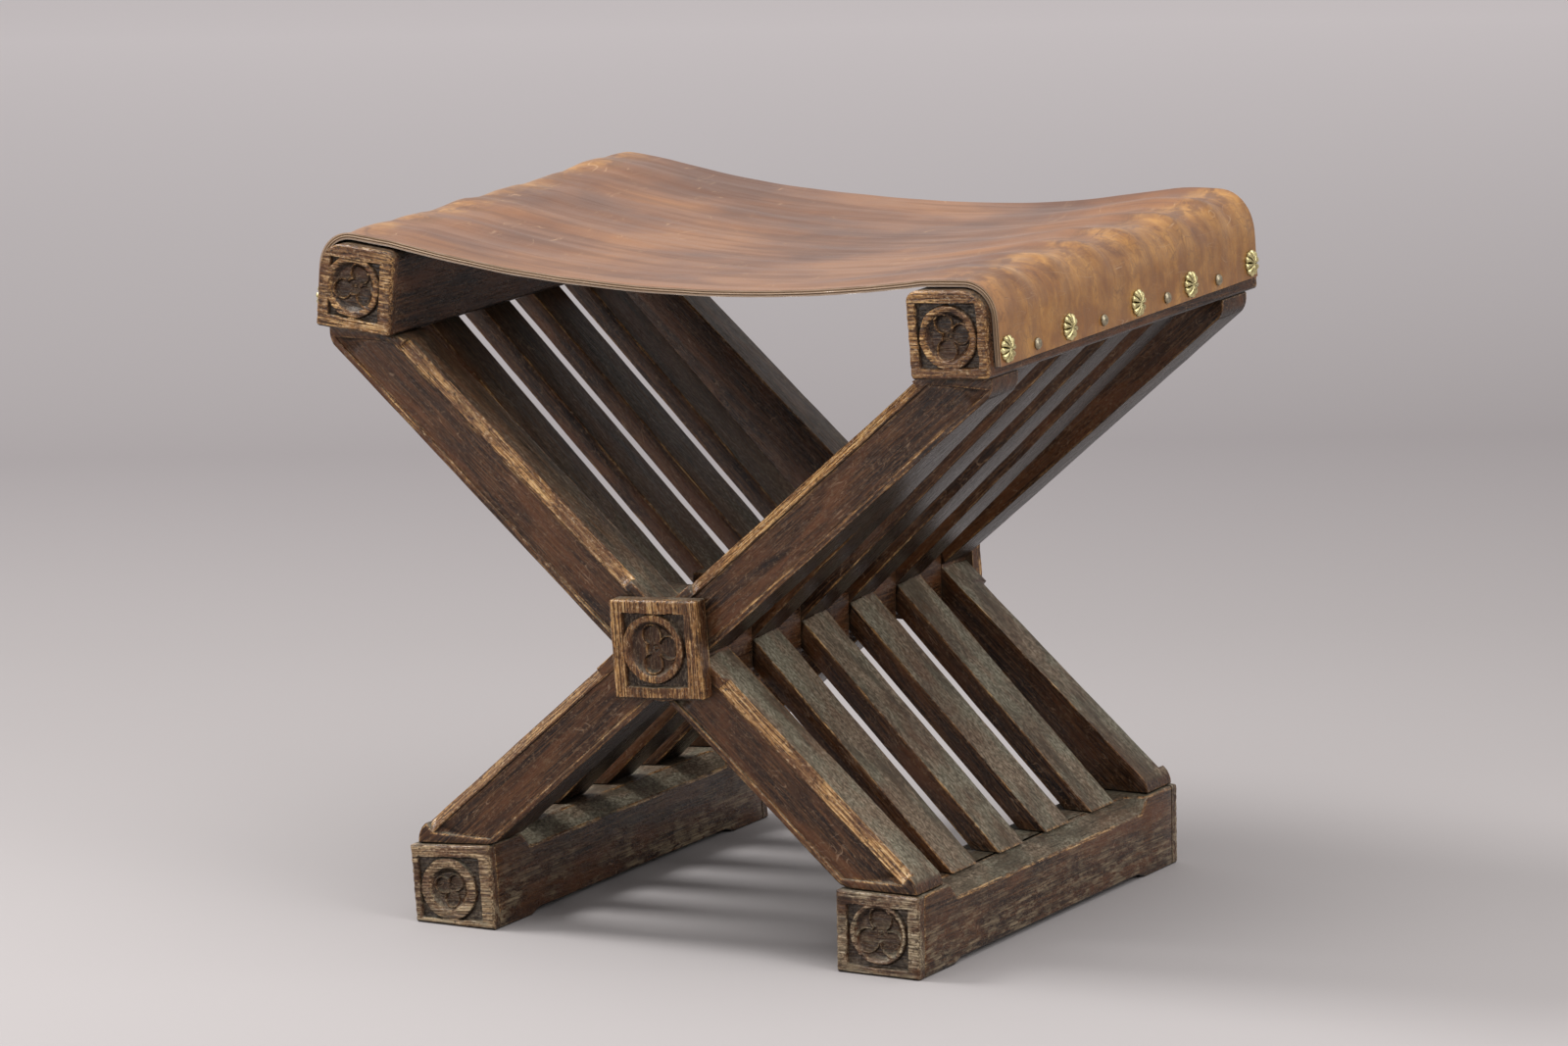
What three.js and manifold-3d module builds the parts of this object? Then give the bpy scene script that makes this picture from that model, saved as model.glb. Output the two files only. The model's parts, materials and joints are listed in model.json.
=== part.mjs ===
// A folding X stool with a leather sling seat: six scissor pairs on one pivot rod.
// Millimetres, +Z up. X runs across the sling, Y from front to rear, the floor is z = 0.
import * as THREE from "three";
import { mergeVertices } from "three/addons/utils/BufferGeometryUtils.js";
import Module from "manifold-3d";

const wasm = await Module();
wasm.setup();

const rad = Math.PI / 180;

// Overall layout
const pivot_height = 203.8;         // pivot rod above the floor
const pair_count = 6;               // scissor pairs from front to rear
const pair_pitch = 67.4;            // spacing of the pairs
const slat_depth = 35.2;            // inner slats, front to rear
const end_leg_depth = 36;           // the two outer pairs, front to rear
const fit = 0.3;                    // clearance between touching pieces

// Legs and slats
const leg_angle = 48.9;             // end legs, degrees from vertical
const leg_width = 42.4;             // end legs, across the grain
const slat_angle = 45.6;            // inner slats, degrees from vertical
const slat_width = 14.8;            // inner slats, across the grain
const hub_radius = 33.2;            // round halved knuckle of every leg and slat
const rod_radius = 6;
const rod_in_boss = 8;              // how far the rod enters each boss
const leg_chamfer = 7;              // worn chamfer on the front upper arris
const field_sink = 1.5;             // sunk field on the show face of the end legs
const field_border = 4.6;           // rim left round the sunk field
const field_end_gap = 7;            // plain wood between the field and the rail or foot
const chamfer_end_gap = 8;          // plain length of arris at each end of the leg
const field_start = 22;             // the field runs on under the boss, this near to the rod
const chamfer_hub_gap = 14;         // plain length of arris between the chamfer and the boss

// Seat rails
const rail_rise = 232.2;            // seat rail centre above the pivot
const rail_width = 57.5;
const rail_height = 58.5;
const rail_inset = 6.3;             // seat rail centre, inside the line of the end legs
const rail_z = pivot_height + rail_rise;
const rail_x = (rail_rise - rail_height / 2) * Math.tan(leg_angle * rad) - rail_inset;
const rail_length = 395;
const rail_outer_round = 19;
const rail_inner_round = 8;
const rail_foot_round = 3;
const rail_tilt = { left: 5.2, right: 4.0 };   // each rail leans inward, degrees

// Foot rails
const foot_width = 62.4;
const foot_height = 56;
const foot_inset = 4.7;             // foot rail centre, inside the line of the end legs
const foot_x = (pivot_height - foot_height) * Math.tan(leg_angle * rad) - foot_inset;
const foot_length = 380;
const foot_tilt = { left: 4.2, right: 0 };     // the left foot rail leans inward, degrees
const foot_chamfer = { wide: 16, down: 11, stop: 12, start: 3 };  // between the end legs
const pad_length = 50;              // each foot rail stands on a pad at each end
const pad_relief = 3.4;             // height of the hollow between the pads
const pad_ogee = 10;                // length of the slope from pad to hollow

// Mortise and tenon joints
const slat_tenon = { x: 11, y: 22, deep: 20 };
const leg_tenon = { x: 34, y: 18, deep: 30 };
const tenon_root = 3;               // length of tenon buried in its own leg
const leg_shoulder = 3;             // end legs stop this far inside the rail's outer face

// Bosses over the rod ends
const boss_side = 67;
const boss_proud = 14;
const boss_turn = 3.8;              // the boss sits a little crooked, degrees
const boss_shift = { x: 4.4, z: 4.6 };
const boss_pin = { radius: 4, deep: 10, x: 15, z: 15 };

// Carved roundels: a ring, a bowl and a trefoil
const roundel_sink = 3;             // spandrels below the frame
const roundel_rim = 3.2;            // width of the ring round the bowl
const bowl_deep = 4.5;
const lobe_deep = 2;

// Leather sling
const leather_thick = 4.6;
const leather_front_inset = 9.5;    // rail end to leather edge
const leather_reach = rail_length / 2 - leather_front_inset;
const flap_bottom = { front: -22, rear: -19.5 };  // flap edge, below the rail centre
const sling_sag = { front: 17.5, middle: 21, rear: 13.5 };
const sling_rows = 16;
const sling_steps = 18;
const fold = { height: 1.6, pitch: 58, fade: 85, phase: 0.6 };  // soft folds over the right rail
const crest = { height: 3.5, width: 60, y: 150 };               // the rear edge rises at the left

// Nails
const rosette_shares = [-0.95, -0.485, 0.043, 0.46, 0.952];  // places along the leather's reach
const dome_shares = [-0.73, -0.225, 0.27, 0.68];
const rosette_up = 10.4;            // from the flap edge
const dome_up = 7;
const rosette = { radius: 9.1, edge: 1.2, crown: 3.6, petals: 10 };
const dome = { radius: 3.9, edge: 0.5, crown: 2.9 };
const shank = { radius: 1.1, deep: 10 };   // stops short of the leg tenons

const hub_gap = hub_radius + fit;
const half_pairs = (pair_count - 1) / 2;

// Materials
const paint = (color, roughness, metalness = 0) =>
  new THREE.MeshStandardMaterial({ color, roughness, metalness });
const oak = () => paint(0x3b2417, 0.55);
const hide = () => paint(0x8a5535, 0.5);
const brass = () => paint(0xb59a58, 0.35, 0.9);
const iron = () => paint(0x55504b, 0.55, 0.8);

const group = new THREE.Group();
group.name = "folding_stool";

// Solids
function solid(geometry) {
  const bare = geometry.clone();
  bare.deleteAttribute("normal");
  bare.deleteAttribute("uv");
  const welded = mergeVertices(bare, 1e-4);
  return new wasm.Manifold(new wasm.Mesh({
    numProp: 3,
    vertProperties: Float32Array.from(welded.attributes.position.array),
    triVerts: Uint32Array.from(welded.index.array),
  }));
}

function geometryOf(body) {
  const mesh = body.getMesh();
  const geometry = new THREE.BufferGeometry();
  geometry.setAttribute("position", new THREE.BufferAttribute(mesh.vertProperties, 3));
  geometry.setIndex(new THREE.BufferAttribute(mesh.triVerts, 1));
  const flat = geometry.toNonIndexed();
  flat.computeVertexNormals();
  return flat;
}

function place(name, body, material) {
  const geometry = body.isBufferGeometry ? body : geometryOf(body);
  const mesh = new THREE.Mesh(geometry, material);
  mesh.name = name;
  group.add(mesh);
}

const all = (bodies) => bodies.reduce((whole, body) => whole.add(body));
const cut = (body, tools) => tools.reduce((left, tool) => left.subtract(tool), body);

// A flat board: an outline in x and z, from y0 to y1
function board(points, y0, y1) {
  const shape = new THREE.Shape(points.map(([x, z]) => new THREE.Vector2(x, z)));
  const geometry = new THREE.ExtrudeGeometry(shape, { depth: y1 - y0, bevelEnabled: false });
  geometry.rotateX(Math.PI / 2);
  geometry.translate(0, y1, 0);
  return geometry;
}

function disc(radius, y0, y1, x = 0, z = pivot_height, sides = 40) {
  const geometry = new THREE.CylinderGeometry(radius, radius, y1 - y0, sides);
  geometry.translate(x, (y0 + y1) / 2, z);
  return geometry;
}

function block(w, d, h, x, y, z) {
  const geometry = new THREE.BoxGeometry(w, d, h);
  geometry.translate(x, y, z);
  return geometry;
}

// Turn about Y, positive leans the top to the left as seen from the front, then move
function setIn(geometry, lean, x, z, y = 0) {
  geometry.rotateY(-lean * rad);
  geometry.translate(x, y, z);
  return geometry;
}

// Rails and feet as placed: side is -1 on the left and +1 on the right
const sides = { left: -1, right: 1 };
const railPlace = (key) => [sides[key] * rail_tilt[key], sides[key] * rail_x, rail_z];
const footPlace = (key) => [-sides[key] * foot_tilt[key], sides[key] * foot_x, foot_height / 2];

// Pairs: front and rear faces in y
function pairFaces(i) {
  const centre = (i - half_pairs) * pair_pitch;
  const outer = slat_depth / 2;
  if (i === 0) return [centre - outer, centre - outer + end_leg_depth];
  if (i === pair_count - 1) return [centre + outer - end_leg_depth, centre + outer];
  return [centre - outer, centre + outer];
}
const front_face = pairFaces(0)[0];
const rear_face = pairFaces(pair_count - 1)[1];

// Leg outline in the plane of the pair, for the member that rises to the left.
// p is measured across the grain, s along it from the pivot.
function strip(angle, p0, p1, s0, s1) {
  const [sn, cs] = [Math.sin(angle * rad), Math.cos(angle * rad)];
  const at = (p, s) => [p * cs - s * sn, pivot_height + p * sn + s * cs];
  return [at(p0, s0), at(p1, s0), at(p1, s1), at(p0, s1)];
}
const mirrored = (points) => points.map(([x, z]) => [-x, z]).reverse();

// The half space above a rail's underside or below a foot rail's top, as a large block
const beyond = 400;
function railStop(key) {
  const low = block(beyond, beyond * 2, beyond, 0, 0, beyond / 2 - rail_height / 2 - fit);
  return solid(setIn(low, ...railPlace(key)));
}
function footStop(key) {
  const high = block(beyond, beyond * 2, beyond, 0, 0, foot_height / 2 + fit - beyond / 2);
  return solid(setIn(high, ...footPlace(key)));
}

// A tenon on the underside of a rail (up) or on top of a foot rail, and its mortise
function tenon(key, up, size, x, y, grow) {
  const w = size.x + 2 * grow;
  const d = size.y + 2 * grow;
  const h = size.deep + grow;
  const root = tenon_root;
  const seat = up ? -rail_height / 2 : foot_height / 2;
  const way = up ? 1 : -1;
  const long = grow > 0 ? h + root : h + root - fit;
  const middle = seat + way * (long / 2 - root);
  const spot = up ? railPlace(key) : footPlace(key);
  const geometry = block(w, d, long, x, 0, middle);
  return solid(setIn(geometry, ...spot, y));
}

// Where a strip meets a rail or foot rail, in the rail's own x
function landing(angle, p, member, up) {
  const target = up ? rail_z - rail_height / 2 : foot_height;
  const [sn, cs] = [Math.sin(angle * rad), Math.cos(angle * rad)];
  const s = (target - pivot_height - p * sn) / cs;
  const x = (p * cs - s * sn) * member;
  const key = x < 0 ? "left" : "right";
  const centre = up ? rail_x : foot_x;
  return { key, x: x - sides[key] * centre };
}

const mortises = { rail: { left: [], right: [] }, foot: { left: [], right: [] } };
const edge_offset = hub_radius * Math.cos(slat_angle * rad);

// One member of a pair. member +1 rises to the left (frame a), -1 to the right (frame b).
function member(i, way) {
  const [y0, y1] = pairFaces(i);
  const middle = (y0 + y1) / 2;
  const end = i === 0 || i === pair_count - 1;
  const angle = end ? leg_angle : slat_angle;
  const reach = beyond;
  const inside = hub_radius * 0.55;
  const upper = end ? [-leg_width / 2, leg_width / 2] : [-edge_offset, slat_width - edge_offset];
  const lower = end ? upper : [edge_offset - slat_width, edge_offset];
  const flip = way > 0 ? (points) => points : mirrored;
  const arm = (range, s0, s1) => solid(board(flip(strip(angle, ...range, s0, s1)), y0, y1));
  const up = landing(angle, (upper[0] + upper[1]) / 2, way, true);
  const down = landing(angle, (lower[0] + lower[1]) / 2, way, false);
  let arms = arm(upper, inside, reach).add(arm(lower, -reach, -inside));
  arms = cut(arms, [railStop(up.key), footStop(down.key)]);
  if (end) arms = arms.intersect(legLimits(way));

  // halved knuckle: frame b takes the front half, and the outer half of the last pair too
  const fore = (way < 0) === (i < pair_count - 1);
  const own = fore ? [y0, middle - fit / 2] : [middle + fit / 2, y1];
  const other = fore ? [middle - fit / 2, y1 + 1] : [y0 - 1, middle + fit / 2];
  let body = cut(arms, [solid(disc(hub_gap, ...other))]);
  body = body.add(solid(disc(hub_radius, ...own)));
  const size = end ? leg_tenon : slat_tenon;
  const y = middle;
  body = body.add(tenon(up.key, true, size, up.x, y, 0));
  body = body.add(tenon(down.key, false, size, down.x, y, 0));
  mortises.rail[up.key].push(tenon(up.key, true, size, up.x, y, fit));
  mortises.foot[down.key].push(tenon(down.key, false, size, down.x, y, fit));
  body = cut(body, [solid(disc(rod_radius + fit, y0 - 1, y1 + 1, 0, pivot_height, 24))]);
  if (end) body = showFace(body, i, way, flip, y0, y1);
  return body;
}

// The end legs stop level with the rails at the top and with the foot rails at the bottom
function legLimits(way) {
  const wide = rail_x + rail_width / 2 - leg_shoulder / 2;
  const narrow = foot_x + foot_width / 2 - leg_shoulder;
  const tall = beyond * 2;
  const top = block(2 * wide, tall, beyond, 0, 0, pivot_height + beyond / 2);
  const bottom = block(2 * narrow, tall, beyond, 0, 0, pivot_height - beyond / 2);
  return solid(top).add(solid(bottom));
}

// Sunk field and worn chamfer on the outward face of an end leg
function showFace(body, i, way, flip, y0, y1) {
  const front = i === 0;
  const face = front ? y0 : y1;
  const out = front ? -1 : 1;
  const slab = (range, s0, s1) => {
    const near = face + out;
    const far = face - out * field_sink;
    return solid(board(flip(strip(leg_angle, ...range, s0, s1)), Math.min(near, far), Math.max(near, far)));
  };
  const across = [-leg_width / 2 + field_border, leg_width / 2 - leg_chamfer - field_border / 3];
  const start = boss_side / 2 * Math.SQRT2 + chamfer_hub_gap / 2;   // the chamfers' inner ends
  const slope = Math.cos(leg_angle * rad);
  const skew = leg_width / 2 * Math.tan(leg_angle * rad);
  const top = (rail_z - rail_height / 2 - pivot_height) / slope - skew - chamfer_end_gap;
  const corner = foot_x + foot_width / 2 - leg_shoulder - leg_width / 2 * slope;
  const bottom = corner / Math.sin(leg_angle * rad) - chamfer_end_gap;
  const level = fieldLevels();
  const fields = [slab(across, field_start, beyond), slab(across, -beyond, -field_start)];
  const tools = fields.map((tool) => tool.intersect(level));
  const runs = [[start - chamfer_hub_gap / 2, top], [-bottom, chamfer_hub_gap / 2 - start]];
  for (const [s0, s1] of runs) {
    const wedge = chamferWedge(s1 - s0);
    wedge.translate(0, 0, (s0 + s1) / 2);
    wedge.rotateY(-leg_angle * rad);
    if (way < 0) mirrorX(wedge);
    if (!front) mirrorY(wedge);
    wedge.translate(0, face, pivot_height);
    tools.push(solid(wedge));
  }
  return cut(body, tools);
}

// The heights between which the sunk fields lie
function fieldLevels() {
  const high = rail_z - rail_height / 2 - field_end_gap;
  const low = foot_height + field_end_gap;
  return solid(block(beyond * 2, beyond * 2, high - low, 0, 0, (high + low) / 2));
}

// A long prism that takes the arris off at the upper edge: x is across, y into the leg, z along
function chamferWedge(length) {
  const edge = leg_width / 2;
  const c = leg_chamfer;
  const shape = new THREE.Shape([
    new THREE.Vector2(edge - c, -1e-3), new THREE.Vector2(edge + c, -c),
    new THREE.Vector2(edge + c, c), new THREE.Vector2(edge, c),
  ]);
  shape.closePath();
  const geometry = new THREE.ExtrudeGeometry(shape, { depth: length, bevelEnabled: false });
  geometry.translate(0, 0, -length / 2);
  return geometry;
}

function mirrorX(geometry) {
  geometry.scale(-1, 1, 1);
  turnInside(geometry);
}
function mirrorY(geometry) {
  geometry.scale(1, -1, 1);
  turnInside(geometry);
}
function turnInside(geometry) {
  const p = geometry.attributes.position;
  if (geometry.index) {
    const a = geometry.index.array;
    for (let k = 0; k < a.length; k += 3) [a[k], a[k + 1]] = [a[k + 1], a[k]];
    return;
  }
  const one = new THREE.Vector3();
  const two = new THREE.Vector3();
  for (let k = 0; k < p.count; k += 3) {
    one.fromBufferAttribute(p, k);
    two.fromBufferAttribute(p, k + 1);
    p.setXYZ(k, two.x, two.y, two.z);
    p.setXYZ(k + 1, one.x, one.y, one.z);
  }
}

// A carved roundel cut into a face: the tools, around the origin, facing -Y at y = 0
function roundelTools(radius) {
  const ring = new THREE.CylinderGeometry(radius, radius, roundel_sink * 2, 24);
  const bowl = radius - roundel_rim;
  const dish = new THREE.SphereGeometry(1, 18, 8);
  dish.scale(bowl, bowl_deep, bowl);
  const tools = [solid(ring), solid(dish).add(solid(ring))];
  const lobe = new THREE.SphereGeometry(1, 10, 6);
  lobe.scale(bowl * 0.4, lobe_deep, bowl * 0.4);
  const lobes = [90, 210, 330].map((a) => {
    const piece = lobe.clone();
    piece.translate(Math.cos(a * rad) * bowl * 0.42, bowl_deep * 0.75, Math.sin(a * rad) * bowl * 0.42);
    return solid(piece);
  });
  return [tools[1], ...lobes];
}

function carve(body, radius, lean, x, z, y, front) {
  const tools = roundelTools(radius).map((tool) => {
    const geometry = geometryOf(tool);
    if (!front) mirrorY(geometry);
    return solid(setIn(geometry, lean, x, z, y));
  });
  return cut(body, tools);
}

// Seat rail section: square inner foot, rounded top, in the rail's own x and z, outer side +x
function railSection() {
  const [w, h] = [rail_width / 2, rail_height / 2];
  const shape = new THREE.Shape();
  const [f, o, n] = [rail_foot_round, rail_outer_round, rail_inner_round];
  shape.moveTo(-w + f, -h);
  shape.lineTo(w - f, -h);
  shape.absarc(w - f, -h + f, f, -Math.PI / 2, 0);
  shape.absarc(w - o, h - o, o, 0, Math.PI / 2);
  shape.absarc(-w + n, h - n, n, Math.PI / 2, Math.PI);
  shape.absarc(-w + f, -h + f, f, Math.PI, Math.PI * 1.5);
  return shape.getPoints(7).map((p) => [p.x, p.y]);
}

function tidyOutline(points) {
  return points.filter(([x, z], k) => {
    const [a, b] = points[(k + 1) % points.length];
    return Math.hypot(a - x, b - z) > 0.01;
  });
}

function seatRail(key) {
  const side = sides[key];
  const outline = tidyOutline(railSection());
  const shaped = side > 0 ? outline : mirrored(outline);
  let body = solid(setIn(board(shaped, -rail_length / 2, rail_length / 2), ...railPlace(key)));
  body = cut(body, mortises.rail[key]);
  const radius = rail_width * 0.38;
  for (const front of [true, false]) {
    const y = (front ? -1 : 1) * rail_length / 2;
    body = carve(body, radius, ...railPlace(key), y, front);
  }
  return cut(body, nailHoles(key));
}

function footRail(key) {
  const side = sides[key];
  const [w, h] = [foot_width / 2, foot_height / 2];
  const low = h + foot_width / 2 * Math.sin(foot_tilt[key] * rad) + 1;
  const outline = [[-w, -low], [w, -low], [w, h], [-w, h]];
  let body = solid(setIn(board(outline, -foot_length / 2, foot_length / 2), ...footPlace(key)));
  const floor = solid(block(beyond, beyond * 2, beyond, side * foot_x, 0, -beyond / 2));
  const inner = foot_length / 2 - pad_length;
  const hollow = new THREE.Shape([
    [-inner, -1], [inner, -1], [inner, 0], [inner - pad_ogee, pad_relief],
    [-inner + pad_ogee, pad_relief], [-inner, 0],
  ].map(([y, z]) => new THREE.Vector2(y, z)));
  const gap = new THREE.ExtrudeGeometry(hollow, { depth: beyond, bevelEnabled: false });
  gap.rotateX(Math.PI / 2);
  gap.rotateZ(Math.PI / 2);
  gap.translate(side * foot_x - beyond / 2, 0, 0);
  body = cut(body, [floor, solid(gap), ...mortises.foot[key], ...footChamfers(key)]);
  const radius = foot_height * 0.38;
  for (const front of [true, false]) {
    const y = (front ? -1 : 1) * foot_length / 2;
    body = carve(body, radius, ...footPlace(key), y, front);
  }
  return body;
}

// Stopped chamfers along both top arrises of a foot rail, as wedges that taper to each end
function footChamfers(key) {
  const [w, h] = [foot_width / 2, foot_height / 2];
  const { wide, down, stop, start } = foot_chamfer;
  const [y0, y1] = [pairFaces(0)[1] + start, pairFaces(pair_count - 1)[0] - start];
  const over = 0.1;
  const corner = [w + wide * over, h + down * over];
  const ends = [y0, y1].map((y) => [corner[0], y, corner[1]]);
  const full = [y0 + stop, y1 - stop].flatMap((y) => [
    [w - wide * (1 + over), y, h + down * over], [w + wide * over, y, h - down * (1 + over)],
    [corner[0], y, corner[1]],
  ]);
  return [1, -1].map((side) => {
    const points = [...ends, ...full].map(([x, y, z]) => [x * side, y, z]);
    return solid(setIn(geometryOf(wasm.Manifold.hull(points)), ...footPlace(key)));
  });
}

// Bosses: a square block with a carved face, pinned to frame b over the rod end
function bossPins(front, grow) {
  const out = front ? -1 : 1;
  const face = front ? front_face : rear_face;
  const along = leg_angle * rad;
  const r = boss_pin.radius + grow;
  return [1, -1].map((end) => {
    const x = end * Math.sin(along) * boss_pin.x * Math.SQRT2;
    const z = pivot_height + end * Math.cos(along) * boss_pin.z * Math.SQRT2;
    const [y0, y1] = [face + out * (boss_pin.deep / 2), face - out * (boss_pin.deep + grow)];
    return solid(disc(r, Math.min(y0, y1), Math.max(y0, y1), x, z, 16));
  });
}

function boss(front) {
  const out = front ? -1 : 1;
  const face = front ? front_face : rear_face;
  const [near, far] = [face + out * fit, face + out * boss_proud];
  const plate = block(boss_side, boss_proud - fit, boss_side, 0, 0, 0);
  const [lean, x, z] = [boss_turn, boss_shift.x, pivot_height + boss_shift.z];
  let body = solid(setIn(plate, lean, x, z, (near + far) / 2));
  body = carve(body, boss_side * 0.39, lean, x, z, far, front);
  const socket = [face, face + out * (rod_in_boss + fit)];
  const hole = disc(rod_radius + fit, Math.min(...socket), Math.max(...socket), 0, pivot_height, 24);
  return cut(body.add(all(bossPins(front, 0))), [solid(hole)]);
}

// Nails: a shank through the leather into the rail, with a flower or a plain round head
const nailFace = rail_width / 2 + fit + leather_thick + fit;

function nailProfile(head) {
  const s = shank.radius;
  const points = [[0, -shank.deep], [s, -shank.deep + 2], [s, 0], [head.radius, 0], [head.radius, head.edge]];
  const steps = 2;
  for (let k = 1; k <= steps; k++) {
    const a = (k / steps) * Math.PI / 2;
    const rise = head.edge + (head.crown - head.edge) * Math.sin(a);
    points.push([k === steps ? 0 : head.radius * Math.cos(a), rise]);
  }
  return points.map(([r, h]) => new THREE.Vector2(r, h));
}

function nail(head, key, y, z) {
  const round = head.petals ? head.petals * 2 : 10;
  const geometry = new THREE.LatheGeometry(nailProfile(head), round);
  if (head.petals) scallop(geometry, head);
  geometry.rotateZ(-Math.PI / 2);
  geometry.translate(nailFace, 0, z);
  if (key === "left") mirrorX(geometry);
  return solid(setIn(geometry, ...railPlace(key), y));
}

// Pull the rim in between the petals
function scallop(geometry, head) {
  const p = geometry.attributes.position;
  const shallow = 0.12;
  for (let k = 0; k < p.count; k++) {
    const [x, y, z] = [p.getX(k), p.getY(k), p.getZ(k)];
    const r = Math.hypot(x, z);
    if (y < 0 || r < head.radius * 0.3) continue;
    const wave = 1 - shallow * (1 - Math.abs(Math.cos(Math.atan2(z, x) * head.petals / 2)));
    p.setXYZ(k, x * wave, y, z * wave);
  }
}

function nailSpot(kind, head, share, up) {
  const y = share * leather_reach;
  return [kind, head, y, flapEdge(y) + up];
}

const nailSpots = () => [
  ...rosette_shares.map((share) => nailSpot("rosette", rosette, share, rosette_up)),
  ...dome_shares.map((share) => nailSpot("dome", dome, share, dome_up)),
];

function nailHoles(key) {
  return nailSpots().map(([, , y, z]) => {
    const long = shank.deep + fit;
    const hole = new THREE.CylinderGeometry(shank.radius + fit, shank.radius + fit, long + leather_thick, 8);
    hole.rotateZ(-Math.PI / 2);
    hole.translate(nailFace - long / 2 + leather_thick / 2, 0, z);
    if (key === "left") mirrorX(hole);
    return solid(setIn(hole, ...railPlace(key), y));
  });
}

// The flap's edge rises a little from front to rear
function flapEdge(y) {
  const t = (y / leather_reach + 1) / 2;
  return flap_bottom.front + (flap_bottom.rear - flap_bottom.front) * t;
}

// Leather: its under side follows the rails at a clearance, then hangs between them.
// The line is given from the flap edge, over the rail, to where the leather leaves it.
function railLine(key, y) {
  const w = rail_width / 2 + fit;
  const h = rail_height / 2 + fit;
  const low = flapEdge(y);
  const r = rail_outer_round + fit;
  const points = [[w, low, 1, 0], [w, (low + h - r) / 2, 1, 0], [w, h - r, 1, 0]];
  const steps = 4;
  const clear = r / Math.cos(45 * rad / steps);   // the flats of the leather clear the round
  for (let k = 1; k <= steps; k++) {
    const a = (k - 0.5) / steps * 90 * rad;
    points.push([w - r + clear * Math.cos(a), h - r + clear * Math.sin(a), Math.cos(a), Math.sin(a)]);
  }
  points.push([0, h, 0, 1]);
  points.push([-rail_width / 2 + rail_inner_round, h, 0, 1]);
  const [lean, x, z] = railPlace(key);
  const side = sides[key];
  const [sn, cs] = [Math.sin(lean * rad), Math.cos(lean * rad)];
  const turn = (a, b) => [a * cs - b * sn, a * sn + b * cs];
  return points.map(([a, b, n, m]) => {
    const [px, pz] = turn(a * side, b);
    const [nx, nz] = turn(n * side, m);
    return [px + x, pz + z, nx, nz];
  });
}

function slingSection(y) {
  const left = railLine("left", y);
  const right = railLine("right", y).reverse();
  const [xl, zl] = left[left.length - 1];
  const [xr, zr] = right[0];
  const t = y / leather_reach;
  const edge = t < 0 ? sling_sag.front : sling_sag.rear;
  const sag = sling_sag.middle + (edge - sling_sag.middle) * t * t;
  const hang = [];
  for (let k = 1; k < sling_steps; k++) {
    const s = k / sling_steps;
    const bow = 4 * s * (1 - s);
    const slope = ((zr - zl) - 4 * sag * (1 - 2 * s)) / (xr - xl);
    const long = Math.hypot(1, slope);
    hang.push([xl + (xr - xl) * s, zl + (zr - zl) * s - sag * bow, -slope / long, 1 / long]);
  }
  return [...left, ...hang, ...right].map(([x, z, nx, nz]) => {
    const lift = nz > 0 ? nz * nz * slingLift(x, y) : 0;
    return [x + nx * lift, z + nz * lift, nx, nz];
  });
}

// Folds and crests only lift the leather, so that it stays clear of the rails
function slingLift(x, y) {
  const wave = (1 + Math.cos((y / fold.pitch + fold.phase) * 2 * Math.PI)) / 2;
  const near = Math.exp(-(((x - rail_x) / fold.fade) ** 2));
  const hump = Math.exp(-(((x + rail_x) / crest.width) ** 2)) * Math.exp(-(((y - crest.y) / crest.width) ** 2));
  return fold.height * wave * near + crest.height * hump;
}

function sling() {
  const rows = [];
  for (let j = 0; j <= sling_rows; j++) {
    const y = leather_reach * (2 * j / sling_rows - 1);
    rows.push(slingSection(y).map(([x, z, nx, nz]) => [
      [x, y, z], [x + nx * leather_thick, y, z + nz * leather_thick],
    ]));
  }
  const n = rows[0].length;
  const positions = rows.flat().flatMap(([under, over]) => [...under, ...over]);
  const id = (j, k, top) => 2 * (j * n + k) + top;
  const faces = [];
  const quad = (a, b, c, d) => faces.push(a, b, c, a, c, d);
  for (let j = 0; j < sling_rows; j++) {
    for (let k = 0; k < n - 1; k++) {
      quad(id(j, k, 1), id(j, k + 1, 1), id(j + 1, k + 1, 1), id(j + 1, k, 1));
      quad(id(j, k, 0), id(j + 1, k, 0), id(j + 1, k + 1, 0), id(j, k + 1, 0));
    }
    quad(id(j, 0, 0), id(j, 0, 1), id(j + 1, 0, 1), id(j + 1, 0, 0));
    quad(id(j, n - 1, 1), id(j, n - 1, 0), id(j + 1, n - 1, 0), id(j + 1, n - 1, 1));
  }
  for (let k = 0; k < n - 1; k++) {
    quad(id(0, k, 0), id(0, k + 1, 0), id(0, k + 1, 1), id(0, k, 1));
    quad(id(sling_rows, k, 1), id(sling_rows, k + 1, 1), id(sling_rows, k + 1, 0), id(sling_rows, k, 0));
  }
  const geometry = new THREE.BufferGeometry();
  geometry.setAttribute("position", new THREE.BufferAttribute(Float32Array.from(positions), 3));
  geometry.setIndex(faces);
  return cut(solid(geometry), [...nailHoles("left"), ...nailHoles("right")]);
}

// Build: members first, because they leave their mortises in the rails
const frames = { a: 1, b: -1 };
for (const [frame, way] of Object.entries(frames)) {
  for (let i = 0; i < pair_count; i++) {
    let body = member(i, way);
    const front = i === 0;
    const rear = i === pair_count - 1;
    if (way < 0 && (front || rear)) body = cut(body, bossPins(front, fit));
    const name = front ? `leg_${frame}_front` : rear ? `leg_${frame}_rear` : `slat_${frame}_${i}`;
    place(name, body, oak());
  }
}

for (const key of Object.keys(sides)) {
  place(`seat_rail_${key}`, seatRail(key), oak());
  place(`foot_rail_${key}`, footRail(key), oak());
}

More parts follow.
